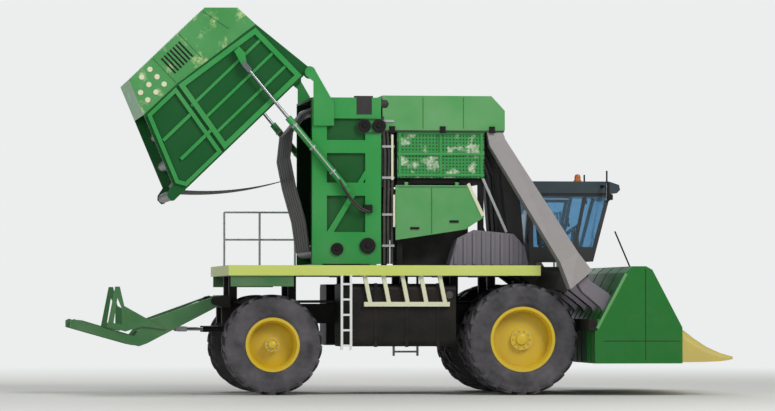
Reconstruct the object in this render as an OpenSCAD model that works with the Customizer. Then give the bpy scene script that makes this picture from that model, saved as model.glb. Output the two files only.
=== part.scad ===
// Six-row self-propelled cotton picker with a rolling chamber, an open rear gate and a tilting cradle.
// Millimetres. +X is forward, +Z is up, and -Y is the machine's right side.
// Every X in a module is measured from the front axle, and at_axle() puts it in place.

/* [Overall] */
// Front axle to rear axle
wheelbase = 4350; // [4300:10:4400]
// Front axle to the tips of the noses
nose_reach = 3600; // [3550:10:3700]
// Front axle to the rear tip of the cradle
tail_reach = 7840; // [7750:10:7900]
// Distance between two rows
row_pitch = 970; // [960:5:1000]

/* [Wheels] */
// Front tyre, over its lugs
front_tyre_d = 1950; // [1930:5:1960]
// Front tyre section width
front_tyre_w = 500; // [460:5:520]
// Front rim
front_rim_d = 1090; // [1060:5:1100]
// Centre line to the middle of the inner front tyre
inner_tyre_y = 970; // [960:5:990]
// Inner to outer tyre of a front pair
dual_pitch = 970; // [960:5:990]
// Rear tyre, over its lugs
rear_tyre_d = 1760; // [1740:5:1780]
// Rear tyre section width
rear_tyre_w = 480; // [440:5:490]
// Rear rim
rear_rim_d = 900; // [880:5:920]
// Centre line to the middle of a rear tyre
rear_tyre_y = 1500; // [1490:5:1540]
// How deep the tread lugs stand
lug_h = 45; // [30:1:50]
// Width of a lug
lug_w = 58; // [45:1:70]
// Distance between two lugs of a side, along the tread
lug_pitch = 265; // [230:5:300]
// Lean of a lug off the wheel's axle
lug_angle = 38; // [30:1:45]

/* [Chassis] */
// Top of the walkway deck
deck_z = 2270; // [2260:5:2290]
// Walkway plate
deck_t = 40; // [30:1:50]
// Half the width over the walkways
deck_half_w = 1950; // [1900:10:1960]
// Walkway from its rear end, behind the front axle
deck_rear = 5100; // [5050:10:5150]
// Walkway to its front end, ahead of the front axle
deck_front = 350; // [330:5:360]
// Depth of the coloured edge of the walkway
edge_h = 180; // [150:5:200]
// Underside of the two frame rails
rail_z = 1250; // [1230:5:1260]
// Height of a rail
rail_h = 350; // [330:5:360]
// Width of a rail
rail_w = 180; // [160:5:190]
// Centre line to the middle of a rail
rail_y = 550; // [540:5:560]

/* [Cab] */
// Rear wall of the cab, ahead of the front axle
cab_rear_x = 330; // [320:5:340]
// Front of the cab at the floor
cab_front_x = 1480; // [1470:5:1490]
// Windscreen lean, top ahead of bottom
screen_lean = 320; // [280:5:330]
// Half the width of the cab
cab_half_w = 800; // [780:5:805]
// Thickness of the cab walls and posts
cab_wall = 60; // [50:1:70]
// Height of the cab from its underside to the roof
cab_h = 1220; // [1180:5:1230]
// Height of the roof slab
roof_h = 210; // [180:5:230]

/* [Accumulator] */
// Rear of the hood, behind the front axle
hood_rear = 2370; // [2350:5:2375]
// Front of the hood, behind the front axle
hood_front = 190; // [180:5:200]
// Underside of the hood
hood_z = 4660; // [4650:5:4680]
// Height of the hood
hood_h = 610; // [580:5:640]
// Half the width of the hood
hood_half_w = 1320; // [1300:5:1330]
// Rear of the bin under the hood, behind the front axle
bin_rear = 2100; // [2050:5:2120]
// Front of the bin, behind the front axle
bin_front = 550; // [540:5:570]
// Underside of the bin
bin_z = 3820; // [3810:5:3840]
// Sheet of the bin and hood
sheet = 30; // [25:1:35]

/* [Module chamber] */
// Gate hinge, behind the front axle
hinge_back = 3660; // [3655:5:3680]
// Gate hinge above the deck
hinge_up = 3400; // [3390:5:3420]
// Gate hinge pin
hinge_pin_d = 100; // [80:1:110]
// Inner half width between the side plates
chamber_half_w = 1240; // [1230:5:1245]
// Side plate
side_t = 50; // [45:1:55]
// Front wall of the chamber, behind the front axle
chamber_front = 2400; // [2395:5:2410]
// Top of the front half above the deck
chamber_h = 2960; // [2940:5:2980]
// How far the gate stands open
gate_open = 46; // [44:1:46]

/* [Cradle] */
// Cradle hinge, behind the front axle
cradle_hinge_back = 5300; // [5290:5:5320]
// Cradle hinge above the ground
cradle_hinge_z = 1650; // [1640:5:1660]
// Half the width over the cradle beams
cradle_half_w = 1000; // [980:5:1010]
// Width of a cradle beam
cradle_beam_w = 120; // [100:5:125]

/* [Picking units] */
// Lift pivot ahead of the front axle
lift_x = 450; // [440:5:460]
// Lift pivot above the ground
lift_z = 1450; // [1445:5:1455]
// Underside of a picking unit as parked
unit_z = 560; // [550:5:580]
// Rear of a unit at the bottom, ahead of the front axle
unit_rear = 1160; // [1155:5:1180]
// Front of a unit at the bottom, ahead of the front axle
unit_front = 2700; // [2680:5:2720]
// Height of a unit
unit_h = 1690; // [1660:5:1695]
// Width of a unit
unit_w = 860; // [840:5:870]
// Width of the row throat through a unit
throat_w = 120; // [110:5:140]

/* [Hidden] */
$fn = 64;

// Colours
green = "#3F8A4B";
dark_green = "#235F35";
pale_green = "#659F67";
yellow = "#D9A21B";
edge_yellow = "#D8DB4A";
nose_yellow = "#D9CC6A";
steel = "#9C9B9C";
lilac_grey = "#8F8A93";
black = "#23262A";
glass = "#60839680";

// The front axle lies so far ahead of the middle of the whole machine
front_axle_x = (tail_reach - nose_reach) / 2;
rear_axle = -wheelbase;
front_hub_z = front_tyre_d / 2;
rear_hub_z = rear_tyre_d / 2;
rail_top = rail_z + rail_h;
deck_under = deck_z - deck_t;
bearer_h = 150;
skirt_t = 30;
bearer_w = 140;
bearer_xs = [-4950, -3900, -2900, -1900, -1000, -330];
// The ducts pass down through the deck between the bearer nearest the cab and the deck's front end
duct_well = [-250, 1330];
// Landing beside the cab, on the left
landing_front = 1250;
// Beams under the cab
cab_beam_y = [690, 790];
cab_beam_x = [-400, 1390];
rail_front = lift_x + 110;
rail_rear = -5150;
rear_beam_z = [rail_top - 70, rail_top + 150];
// Running clearance of a pin in its bore, on the radius, and of flat faces that slide
pin_gap = 0.1;
seat_gap = 0.3;
side_gap = 6;
curve_gap = 0.3;
outer_tyre_y = inner_tyre_y + dual_pitch;
spindle_d = 200;
rear_spindle_d = 140;
king_y = 1130;
king_pin_d = 110;
steer_arm = 330;
cab_z = deck_z + 80;
cab_top = cab_z + cab_h;
body_half_w = chamber_half_w + side_t;
hinge_x = -hinge_back;
hinge_z = deck_z + hinge_up;
chamber_top = deck_z + chamber_h;
chamber_bottom = deck_z + 30;
// Middle of the round chamber, from the gate hinge
round_dx = -240;
round_dz = -1670;
round_r = 1180;
// Gate cylinder: base pivot on the chamber frame, and its eye on the closed gate from the hinge
gate_base = [-3000, deck_z + 1330];
gate_eye = [-900, -750];
gate_cyl_y = body_half_w + 130;
// Cradle cylinder: base pivot under the rails, and its eye on the cradle
cradle_base = [-4800, 1150];
cradle_eye = [-5900, 1150];
cradle_cyl_y = 300;
// Header cylinder: base pivot on the front axle, and its eye on the lift arm
header_base = [230, 900];
header_eye = [1000, 1200];
header_cyl_y = 200;
lift_arm_y = rail_y - rail_w / 2 - side_gap - 45;
unit_top = unit_z + unit_h;

// Point turned about +Y by the right hand, as rotate([0, a, 0]) turns it
function turned(p, a) = [p[0] * cos(a) + p[1] * sin(a), -p[0] * sin(a) + p[1] * cos(a)];
// Open position of the gate's cylinder eye
gate_eye_open = [hinge_x, hinge_z] + turned(gate_eye, gate_open);

function unit_dir(v) = v / norm(v);
// Corner of a counter-clockwise outline moved inward by t
function inset_corner(a, p, b, t) =
    let (u = unit_dir(p - a), v = unit_dir(b - p), n = [-u[1], u[0]], m = [-v[1], v[0]])
    p + t * (n + m) / (1 + n * m);
// Counter-clockwise outline moved inward by t
function inset(pts, t) = let (n = len(pts))
    [for (i = [0:n - 1]) inset_corner(pts[(i + n - 1) % n], pts[i], pts[(i + 1) % n], t)];

module at_axle() {
    translate([front_axle_x, 0, 0]) children();
}

module both_sides() {
    children();
    mirror([0, 1, 0]) children();
}

// Box from three pairs of limits
module block(x, y, z) {
    translate([x[0], y[0], z[0]]) cube([x[1] - x[0], y[1] - y[0], z[1] - z[0]]);
}

// An outline in X and Z carried across the machine
module across(y0, y1) {
    translate([0, y1, 0]) rotate([90, 0, 0]) linear_extrude(height = y1 - y0) children();
}

// An outline in Y and Z carried along the machine
module along(x0, x1) {
    translate([x0, 0, 0]) rotate([90, 0, 90]) linear_extrude(height = x1 - x0) children();
}

// Shaft across the machine
module shaft(x, z, d, y0, y1) {
    translate([x, y1, z]) rotate([90, 0, 0]) cylinder(d = d, h = y1 - y0);
}

// Round bar between two points
module bar(p, q, d) {
    v = q - p;
    translate(p) rotate([0, acos(v[2] / norm(v)), atan2(v[1], v[0])]) cylinder(d = d, h = norm(v));
}

// Band of thickness t just inside an outline
module band(pts, t) {
    difference() {
        polygon(pts);
        polygon(inset(pts, t));
    }
}

// Profile turned about the wheel's axle, its own axle along Y at y = 0
module turned_wheel() {
    rotate([90, 0, 0]) rotate_extrude($fn = 72) children();
}

// Half of a tyre's section outline, from its bead to the middle of its tread, under the lugs
function tyre_side(d, w, rim) = [
    [rim / 2 + curve_gap, w * 0.40],
    [rim / 2 + (d - rim) * 0.09, w * 0.47],
    [rim / 2 + (d - rim) * 0.24, w * 0.50],
    [d / 2 - lug_h * 2.2, w * 0.485],
    [d / 2 - lug_h * 1.1, w * 0.44],
    [d / 2 - lug_h, w * 0.36]];

// Both halves of a section outline
function mirrored(half) = concat(half, [for (i = [len(half) - 1:-1:0]) [half[i][0], -half[i][1]]]);

// Carcass with slanted lugs, each running from a shoulder over the middle of the tread
module tyre(d, w, rim) {
    n = round(PI * d / lug_pitch);
    turned_wheel() polygon(mirrored(tyre_side(d, w, rim)));
    intersection() {
        // Ring in which the lugs stand: their crown and their shoulders
        turned_wheel() polygon(mirrored([[d / 2 - lug_h * 2.4, w * 0.485], [d / 2 - lug_h * 1.2, w * 0.48],
            [d / 2 - 6, w * 0.42], [d / 2, w * 0.30]]));
        for (i = [0:n - 1], s = [-1, 1]) rotate([0, (i + s / 4) * 360 / n, 0])
            translate([0, s * w * 0.23, d / 2 - lug_h * 1.2]) rotate([0, 0, s * lug_angle])
                translate([-lug_w / 2, -w * 0.33, -lug_h * 1.2]) cube([lug_w, w * 0.66, lug_h * 3]);
    }
}

module front_tyres(side) {
    color(black) at_axle() translate([0, 0, front_hub_z]) for (y = [inner_tyre_y, outer_tyre_y])
        translate([0, side * y, 0]) tyre(front_tyre_d, front_tyre_w, front_rim_d);
}

// One side's pair of rims on their long hub
module front_wheels(side) {
    hub_in = inner_tyre_y - front_tyre_w / 2 - 30;
    hub_out = outer_tyre_y + 60;
    color(yellow) at_axle() translate([0, 0, front_hub_z]) mirror([0, side < 0 ? 1 : 0, 0]) {
        for (y = [inner_tyre_y, outer_tyre_y]) translate([0, y, 0]) front_rim();
        difference() {
            shaft(0, 0, 380, hub_in, hub_out);
            shaft(0, 0, spindle_d + 2 * pin_gap, hub_in - 1, spindle_end() + 10);
        }
    }
}

module front_rim() {
    w = front_tyre_w;
    r = front_rim_d / 2;
    turned_wheel() polygon([
        [r, -w * 0.41], [r + 26, -w * 0.43], [r + 26, -w * 0.45], [r - 24, -w * 0.45],
        [r - 60, -w * 0.28], [r - 60, w * 0.10], [185, w * 0.02], [185, w * 0.08],
        [r - 84, w * 0.18], [r - 60, w * 0.30], [r - 24, w * 0.45],
        [r + 26, w * 0.45], [r + 26, w * 0.43], [r, w * 0.41],
        [r - 35, w * 0.26], [r - 35, -w * 0.26]]);
}

function spindle_end() = inner_tyre_y + 430;

module rear_rim() {
    w = rear_tyre_w;
    r = rear_rim_d / 2;
    turned_wheel() polygon([
        [r, -w * 0.41], [r + 26, -w * 0.43], [r + 26, -w * 0.45], [r - 24, -w * 0.45],
        [r - 60, -w * 0.28], [r - 60, w * 0.16], [125, w * 0.06], [125, w * 0.12],
        [r - 84, w * 0.23], [r - 60, w * 0.30], [r - 24, w * 0.45],
        [r + 26, w * 0.45], [r + 26, w * 0.43], [r, w * 0.41],
        [r - 35, w * 0.26], [r - 35, -w * 0.26]]);
}

module rear_tyre(side) {
    color(black) at_axle() translate([rear_axle, side * rear_tyre_y, rear_hub_z])
        tyre(rear_tyre_d, rear_tyre_w, rear_rim_d);
}

module rear_wheel(side) {
    color(yellow) at_axle() translate([rear_axle, 0, rear_hub_z]) mirror([0, side < 0 ? 1 : 0, 0]) {
        translate([0, rear_tyre_y, 0]) rear_rim();
        difference() {
            shaft(0, 0, 260, king_y + 195, rear_tyre_y + 110);
            shaft(0, 0, rear_spindle_d + 2 * pin_gap, king_y + 194, rear_tyre_y + 40);
        }
    }
}

// Two rails, the cross beams, and the bearers that carry the deck
module main_frame() {
    color(black) at_axle() {
        both_sides() {
            difference() {
                block([rail_rear, rail_front], [rail_y - rail_w / 2, rail_y + rail_w / 2],
                    [rail_z, rail_top]);
                shaft(lift_x, lift_z, 90, 0, 3000);
            }
            for (x = bearer_xs)
                block([x - bearer_w / 2, x + bearer_w / 2], [rail_y - 70, rail_y + 70],
                    [rail_top, deck_under - bearer_h]);
            // Shaft of the lift arms
            shaft(lift_x, lift_z, 90, 0, rail_y + rail_w / 2 + 20);
            // Ears of the cradle hinge
            for (y = [cradle_half_w - cradle_beam_w - side_gap - 40, cradle_half_w + side_gap])
                cradle_ear(y);
            shaft(-cradle_hinge_back, cradle_hinge_z, 70, cradle_half_w - cradle_beam_w - side_gap - 20,
                cradle_half_w + side_gap + 20);
            // Fork of the cradle cylinder
            for (y = [cradle_cyl_y - 35 - side_gap - 25, cradle_cyl_y + 35 + side_gap])
                across(y, y + 25) base_lug(cradle_base, rail_z + 80 - cradle_base[1]);
            shaft(cradle_base[0], cradle_base[1], 60, cradle_cyl_y - 35 - side_gap - 20,
                cradle_cyl_y + 35 + side_gap + 20);
        }
        for (x = bearer_xs)
            block([x - bearer_w / 2, x + bearer_w / 2],
                [skirt_t + 40 - deck_half_w, deck_half_w - 40 - skirt_t],
                [deck_under - bearer_h, deck_under]);
        for (x = [cradle_base[0], -3400, -2300, -1200])
            block([x - 90, x + 90], [-rail_y, rail_y], [rail_z + 60, rail_top - 40]);
        // Beams that reach forward under the cab
        both_sides() {
            block(cab_beam_x, cab_beam_y, [deck_under - bearer_h, deck_under]);
            block([250, 350], [rail_y - 70, rail_y + 90], [rail_top, deck_under - bearer_h - 100]);
            block([250, 350], [rail_y - 70, cab_beam_y[1]],
                [deck_under - bearer_h - 100, deck_under - bearer_h]);
        }
        // Beam under the landing
        block([bearer_xs[5] + bearer_w / 2, landing_front], [850, 920],
            [deck_under - bearer_h, deck_under]);
        block([rail_rear - 20, rail_rear + 120],
            [-cradle_half_w - side_gap - 40, cradle_half_w + side_gap + 40],
            rear_beam_z);
    }
}

// Plate from the rear beam to the cradle hinge, with its lower face at y
module cradle_ear(y) {
    across(y, y + 40) union() {
        translate([-cradle_hinge_back, cradle_hinge_z]) circle(d = 150);
        polygon([[rail_rear + 60, rear_beam_z[0]], [rail_rear + 60, rear_beam_z[1]],
            [-cradle_hinge_back, cradle_hinge_z + 75], [-cradle_hinge_back, cradle_hinge_z - 75]]);
    }
}

// Lug outline round a base pivot with an arm up to a structure
module base_lug(p, up) {
    translate(p) union() {
        circle(d = 110);
        translate([-40, 0]) square([80, up]);
    }
}

// Drive axle: beam, final drives, spindles and the forks of the header cylinders
module front_axle() {
    beam_z = [front_hub_z - 175, front_hub_z + 175];
    color(black) at_axle() {
        block([-150, 150], [-640, 640], beam_z);
        both_sides() {
            block([-150, 150], [rail_y - 80, rail_y + 80], [beam_z[1], rail_z]);
            shaft(0, front_hub_z, 540, 420, 660);
            shaft(0, front_hub_z, spindle_d, 600, spindle_end());
            for (y = [header_cyl_y - 35 - side_gap - 25, header_cyl_y + 35 + side_gap])
                across(y, y + 25) union() {
                    translate(header_base) circle(d = 110);
                    polygon([[140, header_base[1] - 55], header_base - [0, 55], header_base + [0, 55],
                        [140, header_base[1] + 55]]);
                }
            shaft(header_base[0], header_base[1], 60, header_cyl_y - 35 - side_gap - 20,
                header_cyl_y + 35 + side_gap + 20);
        }
    }
}

// Steered axle: beam with an eye for each kingpin, hung from the rails
module rear_axle_beam() {
    color(black) at_axle() {
        difference() {
            union() {
                block([rear_axle - 120, rear_axle + 120], [-king_y, king_y],
                    [rear_hub_z - 120, rear_hub_z + 120]);
                both_sides() translate([rear_axle, king_y, rear_hub_z - 120]) cylinder(d = 240, h = 240);
            }
            both_sides() translate([rear_axle, king_y, 0])
                cylinder(d = king_pin_d + 2 * pin_gap, h = 2000);
        }
        block([rear_axle - 160, rear_axle + 160], [-rail_y - rail_w / 2, rail_y + rail_w / 2],
            [rail_z - 80, rail_z]);
        across(-120, 120) polygon([[rear_axle - 100, rear_hub_z + 120], [rear_axle + 100, rear_hub_z + 120],
            [rear_axle + 150, rail_z - 80], [rear_axle - 150, rail_z - 80]]);
    }
}

// Knuckle with its kingpin, spindle and steering arm
module knuckle(side) {
    eye = 120 + side_gap;
    color(black) at_axle() translate([rear_axle, 0, rear_hub_z]) mirror([0, side < 0 ? 1 : 0, 0]) {
        translate([0, king_y, -eye - 50]) cylinder(d = king_pin_d, h = 2 * eye + 100);
        translate([0, 0, -eye - 50]) linear_extrude(height = 50) knuckle_plate();
        translate([0, 0, eye]) linear_extrude(height = 50) union() {
            knuckle_plate();
            translate([-steer_arm, king_y]) circle(d = 110);
            translate([-steer_arm, king_y - 45]) square([steer_arm, 90]);
        }
        block([-100, 100], [king_y + 130, king_y + 190], [-eye - 50, eye + 50]);
        shaft(0, 0, rear_spindle_d, king_y + 180, rear_tyre_y + 30);
    }
}

module knuckle_plate() {
    translate([0, king_y]) circle(d = 200);
    translate([-100, king_y]) square([200, 190]);
}

module tie_rod() {
    z = rear_hub_z + 120 + side_gap + 50 + seat_gap;
    color(steel) at_axle() translate([rear_axle - steer_arm, 0, z]) {
        both_sides() translate([0, king_y, 0]) cylinder(d = 110, h = 50);
        translate([-30, -king_y, 0]) cube([60, 2 * king_y, 50]);
    }
}

// Walkway plates at both sides, joined by the plate under the machine's body, and the landing
module side_platforms() {
    y1 = deck_half_w - 40;
    z = [deck_under, deck_z];
    color(dark_green) at_axle() {
        block([-deck_rear, duct_well[0]], [-y1, y1], z);
        both_sides() block([duct_well[0], deck_front], [duct_well[1], y1], z);
        block([deck_front, landing_front], [cab_beam_y[1], y1], z);
        // Skirts under the rear of the walkways
        both_sides() block([-deck_rear, -deck_rear + 1100], [y1 - skirt_t, y1],
            [deck_under - bearer_h - 180, deck_under]);
    }
}

// Coloured edge channel round the sides, the rear and the landing
module deck_edges() {
    z = [deck_z - edge_h, deck_z];
    y = [deck_half_w - 40, deck_half_w];
    color(edge_yellow) at_axle() {
        block([-deck_rear - 40, deck_front], [-y[1], -y[0]], z);
        block([-deck_rear - 40, landing_front + 40], y, z);
        block([-deck_rear - 40, -deck_rear], [-y[1], y[1]], z);
        block([landing_front, landing_front + 40], [cab_half_w + 20, y[1]], z);
    }
}

// Slanted brackets and their rail under the right-hand walkway
module side_rack() {
    z0 = deck_z - 640;
    color(steel) at_axle() {
        for (x = [-2690:330:-1360]) across(-deck_half_w + 70, -deck_half_w + 150)
            polygon([[x, z0], [x + 70, z0], [x - 50, deck_under], [x - 120, deck_under]]);
        block([-2760, -1250], [-deck_half_w + 70, -deck_half_w + 150], [z0 - 80, z0]);
    }
}

// Service ladder on the right and the stairs to the cab on the left
module ladders() {
    color(steel) at_axle() {
        ladder(-3080, -1, 790, 200);
        ladder(-1550, 1, 640, 480);
    }
}

module ladder(x, side, z0, w) {
    top = deck_z - edge_h;
    translate([x, side * (deck_half_w - 20), 0]) {
        for (dx = [-w / 2, w / 2 - 40]) translate([dx, -30, z0]) cube([40, 60, top - z0]);
        for (i = [0:4]) translate([-w / 2, -30, z0 + 60 + i * (top - z0 - 120) / 4.4])
            cube([w, 60, 35]);
    }
}

// Rounded tank outline in Y and Z
module tank_outline(y, z, r) {
    for (cy = [y[0] + r, y[1] - r], cz = [z[0] + r, z[1] - r]) translate([cy, cz]) circle(r = r);
    translate([y[0] + r, z[0]]) square([y[1] - y[0] - 2 * r, z[1] - z[0]]);
    translate([y[0], z[0] + r]) square([y[1] - y[0], z[1] - z[0] - 2 * r]);
}

module saddle_tank(side) {
    inner = rail_y + rail_w / 2;
    at_axle() mirror([0, side < 0 ? 1 : 0, 0]) {
        along(-3150, -1130) tank_outline([inner + 60, deck_half_w - 160], [850, 1950], 120);
        for (x = [-2600, -1500]) block([x - 60, x + 60], [inner, inner + 90], [rail_z + 40, rail_top - 40]);
    }
}

module fuel_tank() {
    color(black) saddle_tank(1);
}

module water_tank() {
    color(black) saddle_tank(-1);
}

module engine_block() {
    color(black) at_axle() block([-1950, -750], [-620, 620], [deck_z, deck_z + 950]);
}

// Open frame round the engine that also carries the accumulator and the hinges of the side doors
module engine_enclosure() {
    z1 = bin_z;
    x = [-bin_rear, -bin_front];
    color(black) at_axle() {
        both_sides() {
            for (px = [x[0], x[1] - 100]) block([px, px + 100], [1080, 1180], [deck_z, z1 - 100]);
            block(x, [1080, 1180], [z1 - 100, z1]);
            for (px = door_hinge_xs) {
                along(px + 36, px + 61) union() {
                    translate(door_hinge) circle(d = 50);
                    polygon([[1180, z1 - 80], door_hinge + [-10, -24], door_hinge + [10, 24],
                        [1180, z1 - 10]]);
                }
                translate([px - 30, door_hinge[0], door_hinge[1]]) rotate([0, 90, 0])
                    cylinder(d = 24, h = 80);
            }
        }
        for (px = [x[0], x[1] - 100]) block([px, px + 100], [-1080, 1080], [z1 - 100, z1]);
    }
}

// Outline of an engine side shield in X and Z: its lower edge rises to the front
shield_top = bin_z - 130;
shield = [[-2140, deck_z + 450], [-900, deck_z + 640], [-560, deck_z + 860], [-840, shield_top],
    [-2140, shield_top]];
shield_y = 1300;
// Hinge axis of a side door, along X: its Y and Z
door_hinge = [shield_y + 20, shield_top + 30];
door_hinge_xs = [-1950, -1050];

module service_door(side) {
    color(pale_green) at_axle() mirror([0, side < 0 ? 1 : 0, 0]) {
        across(shield_y, shield_y + 40) polygon(shield);
        across(shield_y - 60, shield_y) band(inset(shield, 60), 50);
        for (px = door_hinge_xs) along(px - 30, px + 30) difference() {
            union() {
                translate(door_hinge) circle(d = 50);
                translate([shield_y, shield_top - 10]) square([40, 40]);
            }
            translate(door_hinge) circle(d = 24 + 2 * pin_gap);
        }
    }
}

// Ribbed fan housings that stand on the walkway beside the engine
fan_outline = [[-1200, deck_z], [210, deck_z], [130, deck_z + 350], [-60, deck_z + 560],
    [-760, deck_z + 630],
    [-1060, deck_z + 480]];
fan_y = [duct_well[1], duct_well[1] + 150];
module fan_housings() {
    color(lilac_grey) at_axle() both_sides() {
        across(fan_y[0], fan_y[1]) polygon(fan_outline);
        for (i = [0:7]) across(fan_y[1], fan_y[1] + 30) intersection() {
            polygon(inset(fan_outline, 20));
            translate([-1120 + i * 165, deck_z]) square([50, 700]);
        }
        // Scroll of the fan, between the engine and its cover
        across(700, fan_y[0]) intersection() {
            polygon(inset(fan_outline, 30));
            translate([-1200, deck_z]) square([520, 700]);
        }
    }
}

// Handrails of the left walkway and the landing
module handrails() {
    y = deck_half_w - 70;
    z = [deck_z, deck_z + 1000];
    spans = [[-4900, -3600], [-3600, -2300]];
    color(edge_yellow) at_axle() {
        for (s = spans) {
            for (i = [0:2]) bar([s[0] + i * (s[1] - s[0]) / 2, y, z[0]],
                [s[0] + i * (s[1] - s[0]) / 2, y, z[1]], 40);
            for (h = [500, 1000]) bar([s[0], y, z[0] + h], [s[1], y, z[0] + h], 36);
        }
        for (py = [1170, 1500, y - 20])
            bar([landing_front - 40, py, z[0]], [landing_front - 40, py, z[1]], 40);
        for (h = [500, 1000]) bar([landing_front - 40, 1170, z[0] + h],
            [landing_front - 40, y - 20, z[0] + h], 36);
    }
}

// Cab outline in X and Z
cab_outline = [[cab_rear_x, cab_z], [cab_front_x, cab_z], [cab_front_x + screen_lean, cab_top],
    [cab_rear_x, cab_top]];
function cab_front_at(z) = cab_front_x + screen_lean * (z - cab_z) / cab_h;
sill = cab_z + 260;
head = cab_top - 60;
// Door opening, whose front edge leans with the post ahead of it: its front X at the sill and at the head
door_x = [560, 1070, 1300];
function post_at(z) = door_x[1] + (door_x[2] - door_x[1]) * (z - cab_z) / (head - cab_z);

// Side window outlines, from the rear: quarter window and front window
rear_window = [[cab_rear_x + 70, sill], [door_x[0] - 60, sill], [door_x[0] - 60, head],
    [cab_rear_x + 70, head]];
front_window = [[post_at(sill) + 60, sill], [cab_front_at(sill) - 70, sill],
    [cab_front_at(head) - 70, head],
    [post_at(head) + 60, head]];
right_window = [[door_x[0], sill], [post_at(sill), sill], [post_at(head), head], [door_x[0], head]];
door_outline = [[door_x[0], cab_z + 70], [post_at(cab_z + 70), cab_z + 70], [post_at(head), head],
    [door_x[0], head]];

// Hinge pin of the cab door, which opens forward edge first, and the heights of its two hinges
door_pin = [door_x[0], cab_half_w + 24];
door_hinge_zs = [cab_z + 250, head - 250];
// Leaf of a hinge: s is 1 on the door and -1 on the cab
module hinge_leaf(s, z0, z1) {
    translate([door_pin[0], door_pin[1], z0]) mirror([s < 0 ? 1 : 0, 0, 0])
        linear_extrude(height = z1 - z0) union() {
        circle(d = 36);
        translate([0, -14]) square([40, 14]);
        translate([20, -25]) square([60, 21]);
    }
}

module cab_shell() {
    color(black) at_axle() {
        difference() {
            across(-cab_half_w, cab_half_w) polygon(cab_outline);
            across(-cab_half_w + cab_wall, cab_half_w - cab_wall) polygon(inset(cab_outline, cab_wall));
            // Windows of both sides, then the right-hand pane and the door opening
            across(-cab_half_w - 1, cab_half_w + 1) polygon(rear_window);
            across(-cab_half_w - 1, cab_half_w + 1) polygon(front_window);
            across(-cab_half_w - 1, 0) polygon(right_window);
            across(0, cab_half_w + 1) polygon(door_outline);
            block([cab_rear_x + cab_wall + 100, 3000], [-cab_half_w + 70, cab_half_w - 70],
                [cab_z + 120, head]);
            // Rear window
            block([0, cab_rear_x + cab_wall + 1], [-cab_half_w + 120, cab_half_w - 120], [sill + 80, head]);
        }
        // Feet on the cab beams
        both_sides() for (x = [cab_rear_x, cab_beam_x[1] - 160])
            block([x, x + 120], cab_beam_y, [deck_under, cab_z]);
        for (z = door_hinge_zs) {
            hinge_leaf(-1, z - 40, z - seat_gap);
            translate([door_pin[0], door_pin[1], z - 40]) cylinder(d = 16, h = 100);
        }
    }
}

module cab_glass() {
    t = 10;
    y = cab_half_w - cab_wall / 2;
    color(glass) at_axle() {
        both_sides() {
            across(y, y + t) polygon(rear_window);
            across(y, y + t) polygon(front_window);
        }
        across(-y - t, -y) polygon(right_window);
        block([cab_rear_x + 25, cab_rear_x + 35], [-cab_half_w + 120, cab_half_w - 120], [sill + 80, head]);
        // Windscreen, lying along the lean of the posts
        across(-cab_half_w + 70, cab_half_w - 70) polygon([
            [cab_front_at(cab_z + 120) - 40, cab_z + 120], [cab_front_at(cab_z + 120) - 30, cab_z + 120],
            [cab_front_at(head) - 30, head], [cab_front_at(head) - 40, head]]);
    }
}

module cab_door() {
    o = inset(door_outline, 10);
    color(black) at_axle() {
        difference() {
            across(cab_half_w - cab_wall, cab_half_w) polygon(o);
            across(0, 2000) polygon(inset(o, 60));
        }
        for (z = door_hinge_zs) difference() {
            hinge_leaf(1, z, z + 60);
            translate([door_pin[0], door_pin[1], z - 1]) cylinder(d = 16 + 2 * pin_gap, h = 70);
        }
    }
}

module door_glass() {
    color(glass) at_axle() across(cab_half_w - 35, cab_half_w - 25) polygon(inset(door_outline, 70));
}

module cab_roof() {
    x0 = cab_rear_x - 30;
    x1 = cab_front_x + screen_lean + 160;
    color("#2E424D") at_axle() {
        across(-cab_half_w - 60, cab_half_w + 60) polygon([
            [x0, cab_top], [x1 - 60, cab_top], [x1, cab_top + 60], [x1 - 20, cab_top + roof_h - 60],
            [x1 - 200, cab_top + roof_h], [x0 + 80, cab_top + roof_h], [x0, cab_top + roof_h - 60]]);
    }
}

module seat() {
    color("#33373B") at_axle() {
        z = cab_z + cab_wall;
        block([720, 1020], [-150, 150], [z, z + 240]);
        across(-260, 260) polygon([[640, z + 240], [1160, z + 240], [1180, z + 350], [780, z + 340],
            [700, z + 960], [580, z + 960]]);
    }
}

module steering_console() {
    color("#33373B") at_axle() {
        z = cab_z + cab_wall;
        across(-90, 90) polygon([[1230, z], [1390, z], [1320, z + 500], [1230, z + 520]]);
        translate([1235, 0, z + 500]) rotate([0, -35, 0]) difference() {
            cylinder(d = 420, h = 35);
            translate([0, 0, -1]) cylinder(d = 350, h = 40);
        }
        translate([1235, 0, z + 500]) rotate([0, -35, 0]) block([-200, 200], [-25, 25], [5, 30]);
    }
}

// Mirrors on arms from the roof's front corners
module mirrors() {
    x = cab_front_x + 150;
    y = cab_half_w + 60;
    z = cab_top + roof_h - 90;
    color(black) at_axle() both_sides() {
        block([x - 30, x + 30], [y, y + 12], [z - 25, z + 25]);
        bar([x, y + 6, z], [x + 30, y + 330, z + 20], 30);
        bar([x + 30, y + 330, z + 270], [x + 30, y + 330, z - 290], 30);
        block([x + 15, x + 65], [y + 240, y + 420], [z - 270, z + 60]);
    }
}

// Rectangular ring of a duct: [x, y, z, depth, width, tilt], its depth lying along the tilt in X and Z
function duct_ring(s, in) =
    let (c = cos(s[5]) * (s[3] / 2 - in), h = sin(s[5]) * (s[3] / 2 - in), w = s[4] / 2 - in)
    [[s[0] - c, s[1] - w, s[2] - h], [s[0] + c, s[1] - w, s[2] + h],
        [s[0] + c, s[1] + w, s[2] + h], [s[0] - c, s[1] + w, s[2] - h]];

// Two triangles of a wall panel, as its corners may not lie in one plane
function panel(a, b, c, d) = [[a, b, c], [a, c, d]];

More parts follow.
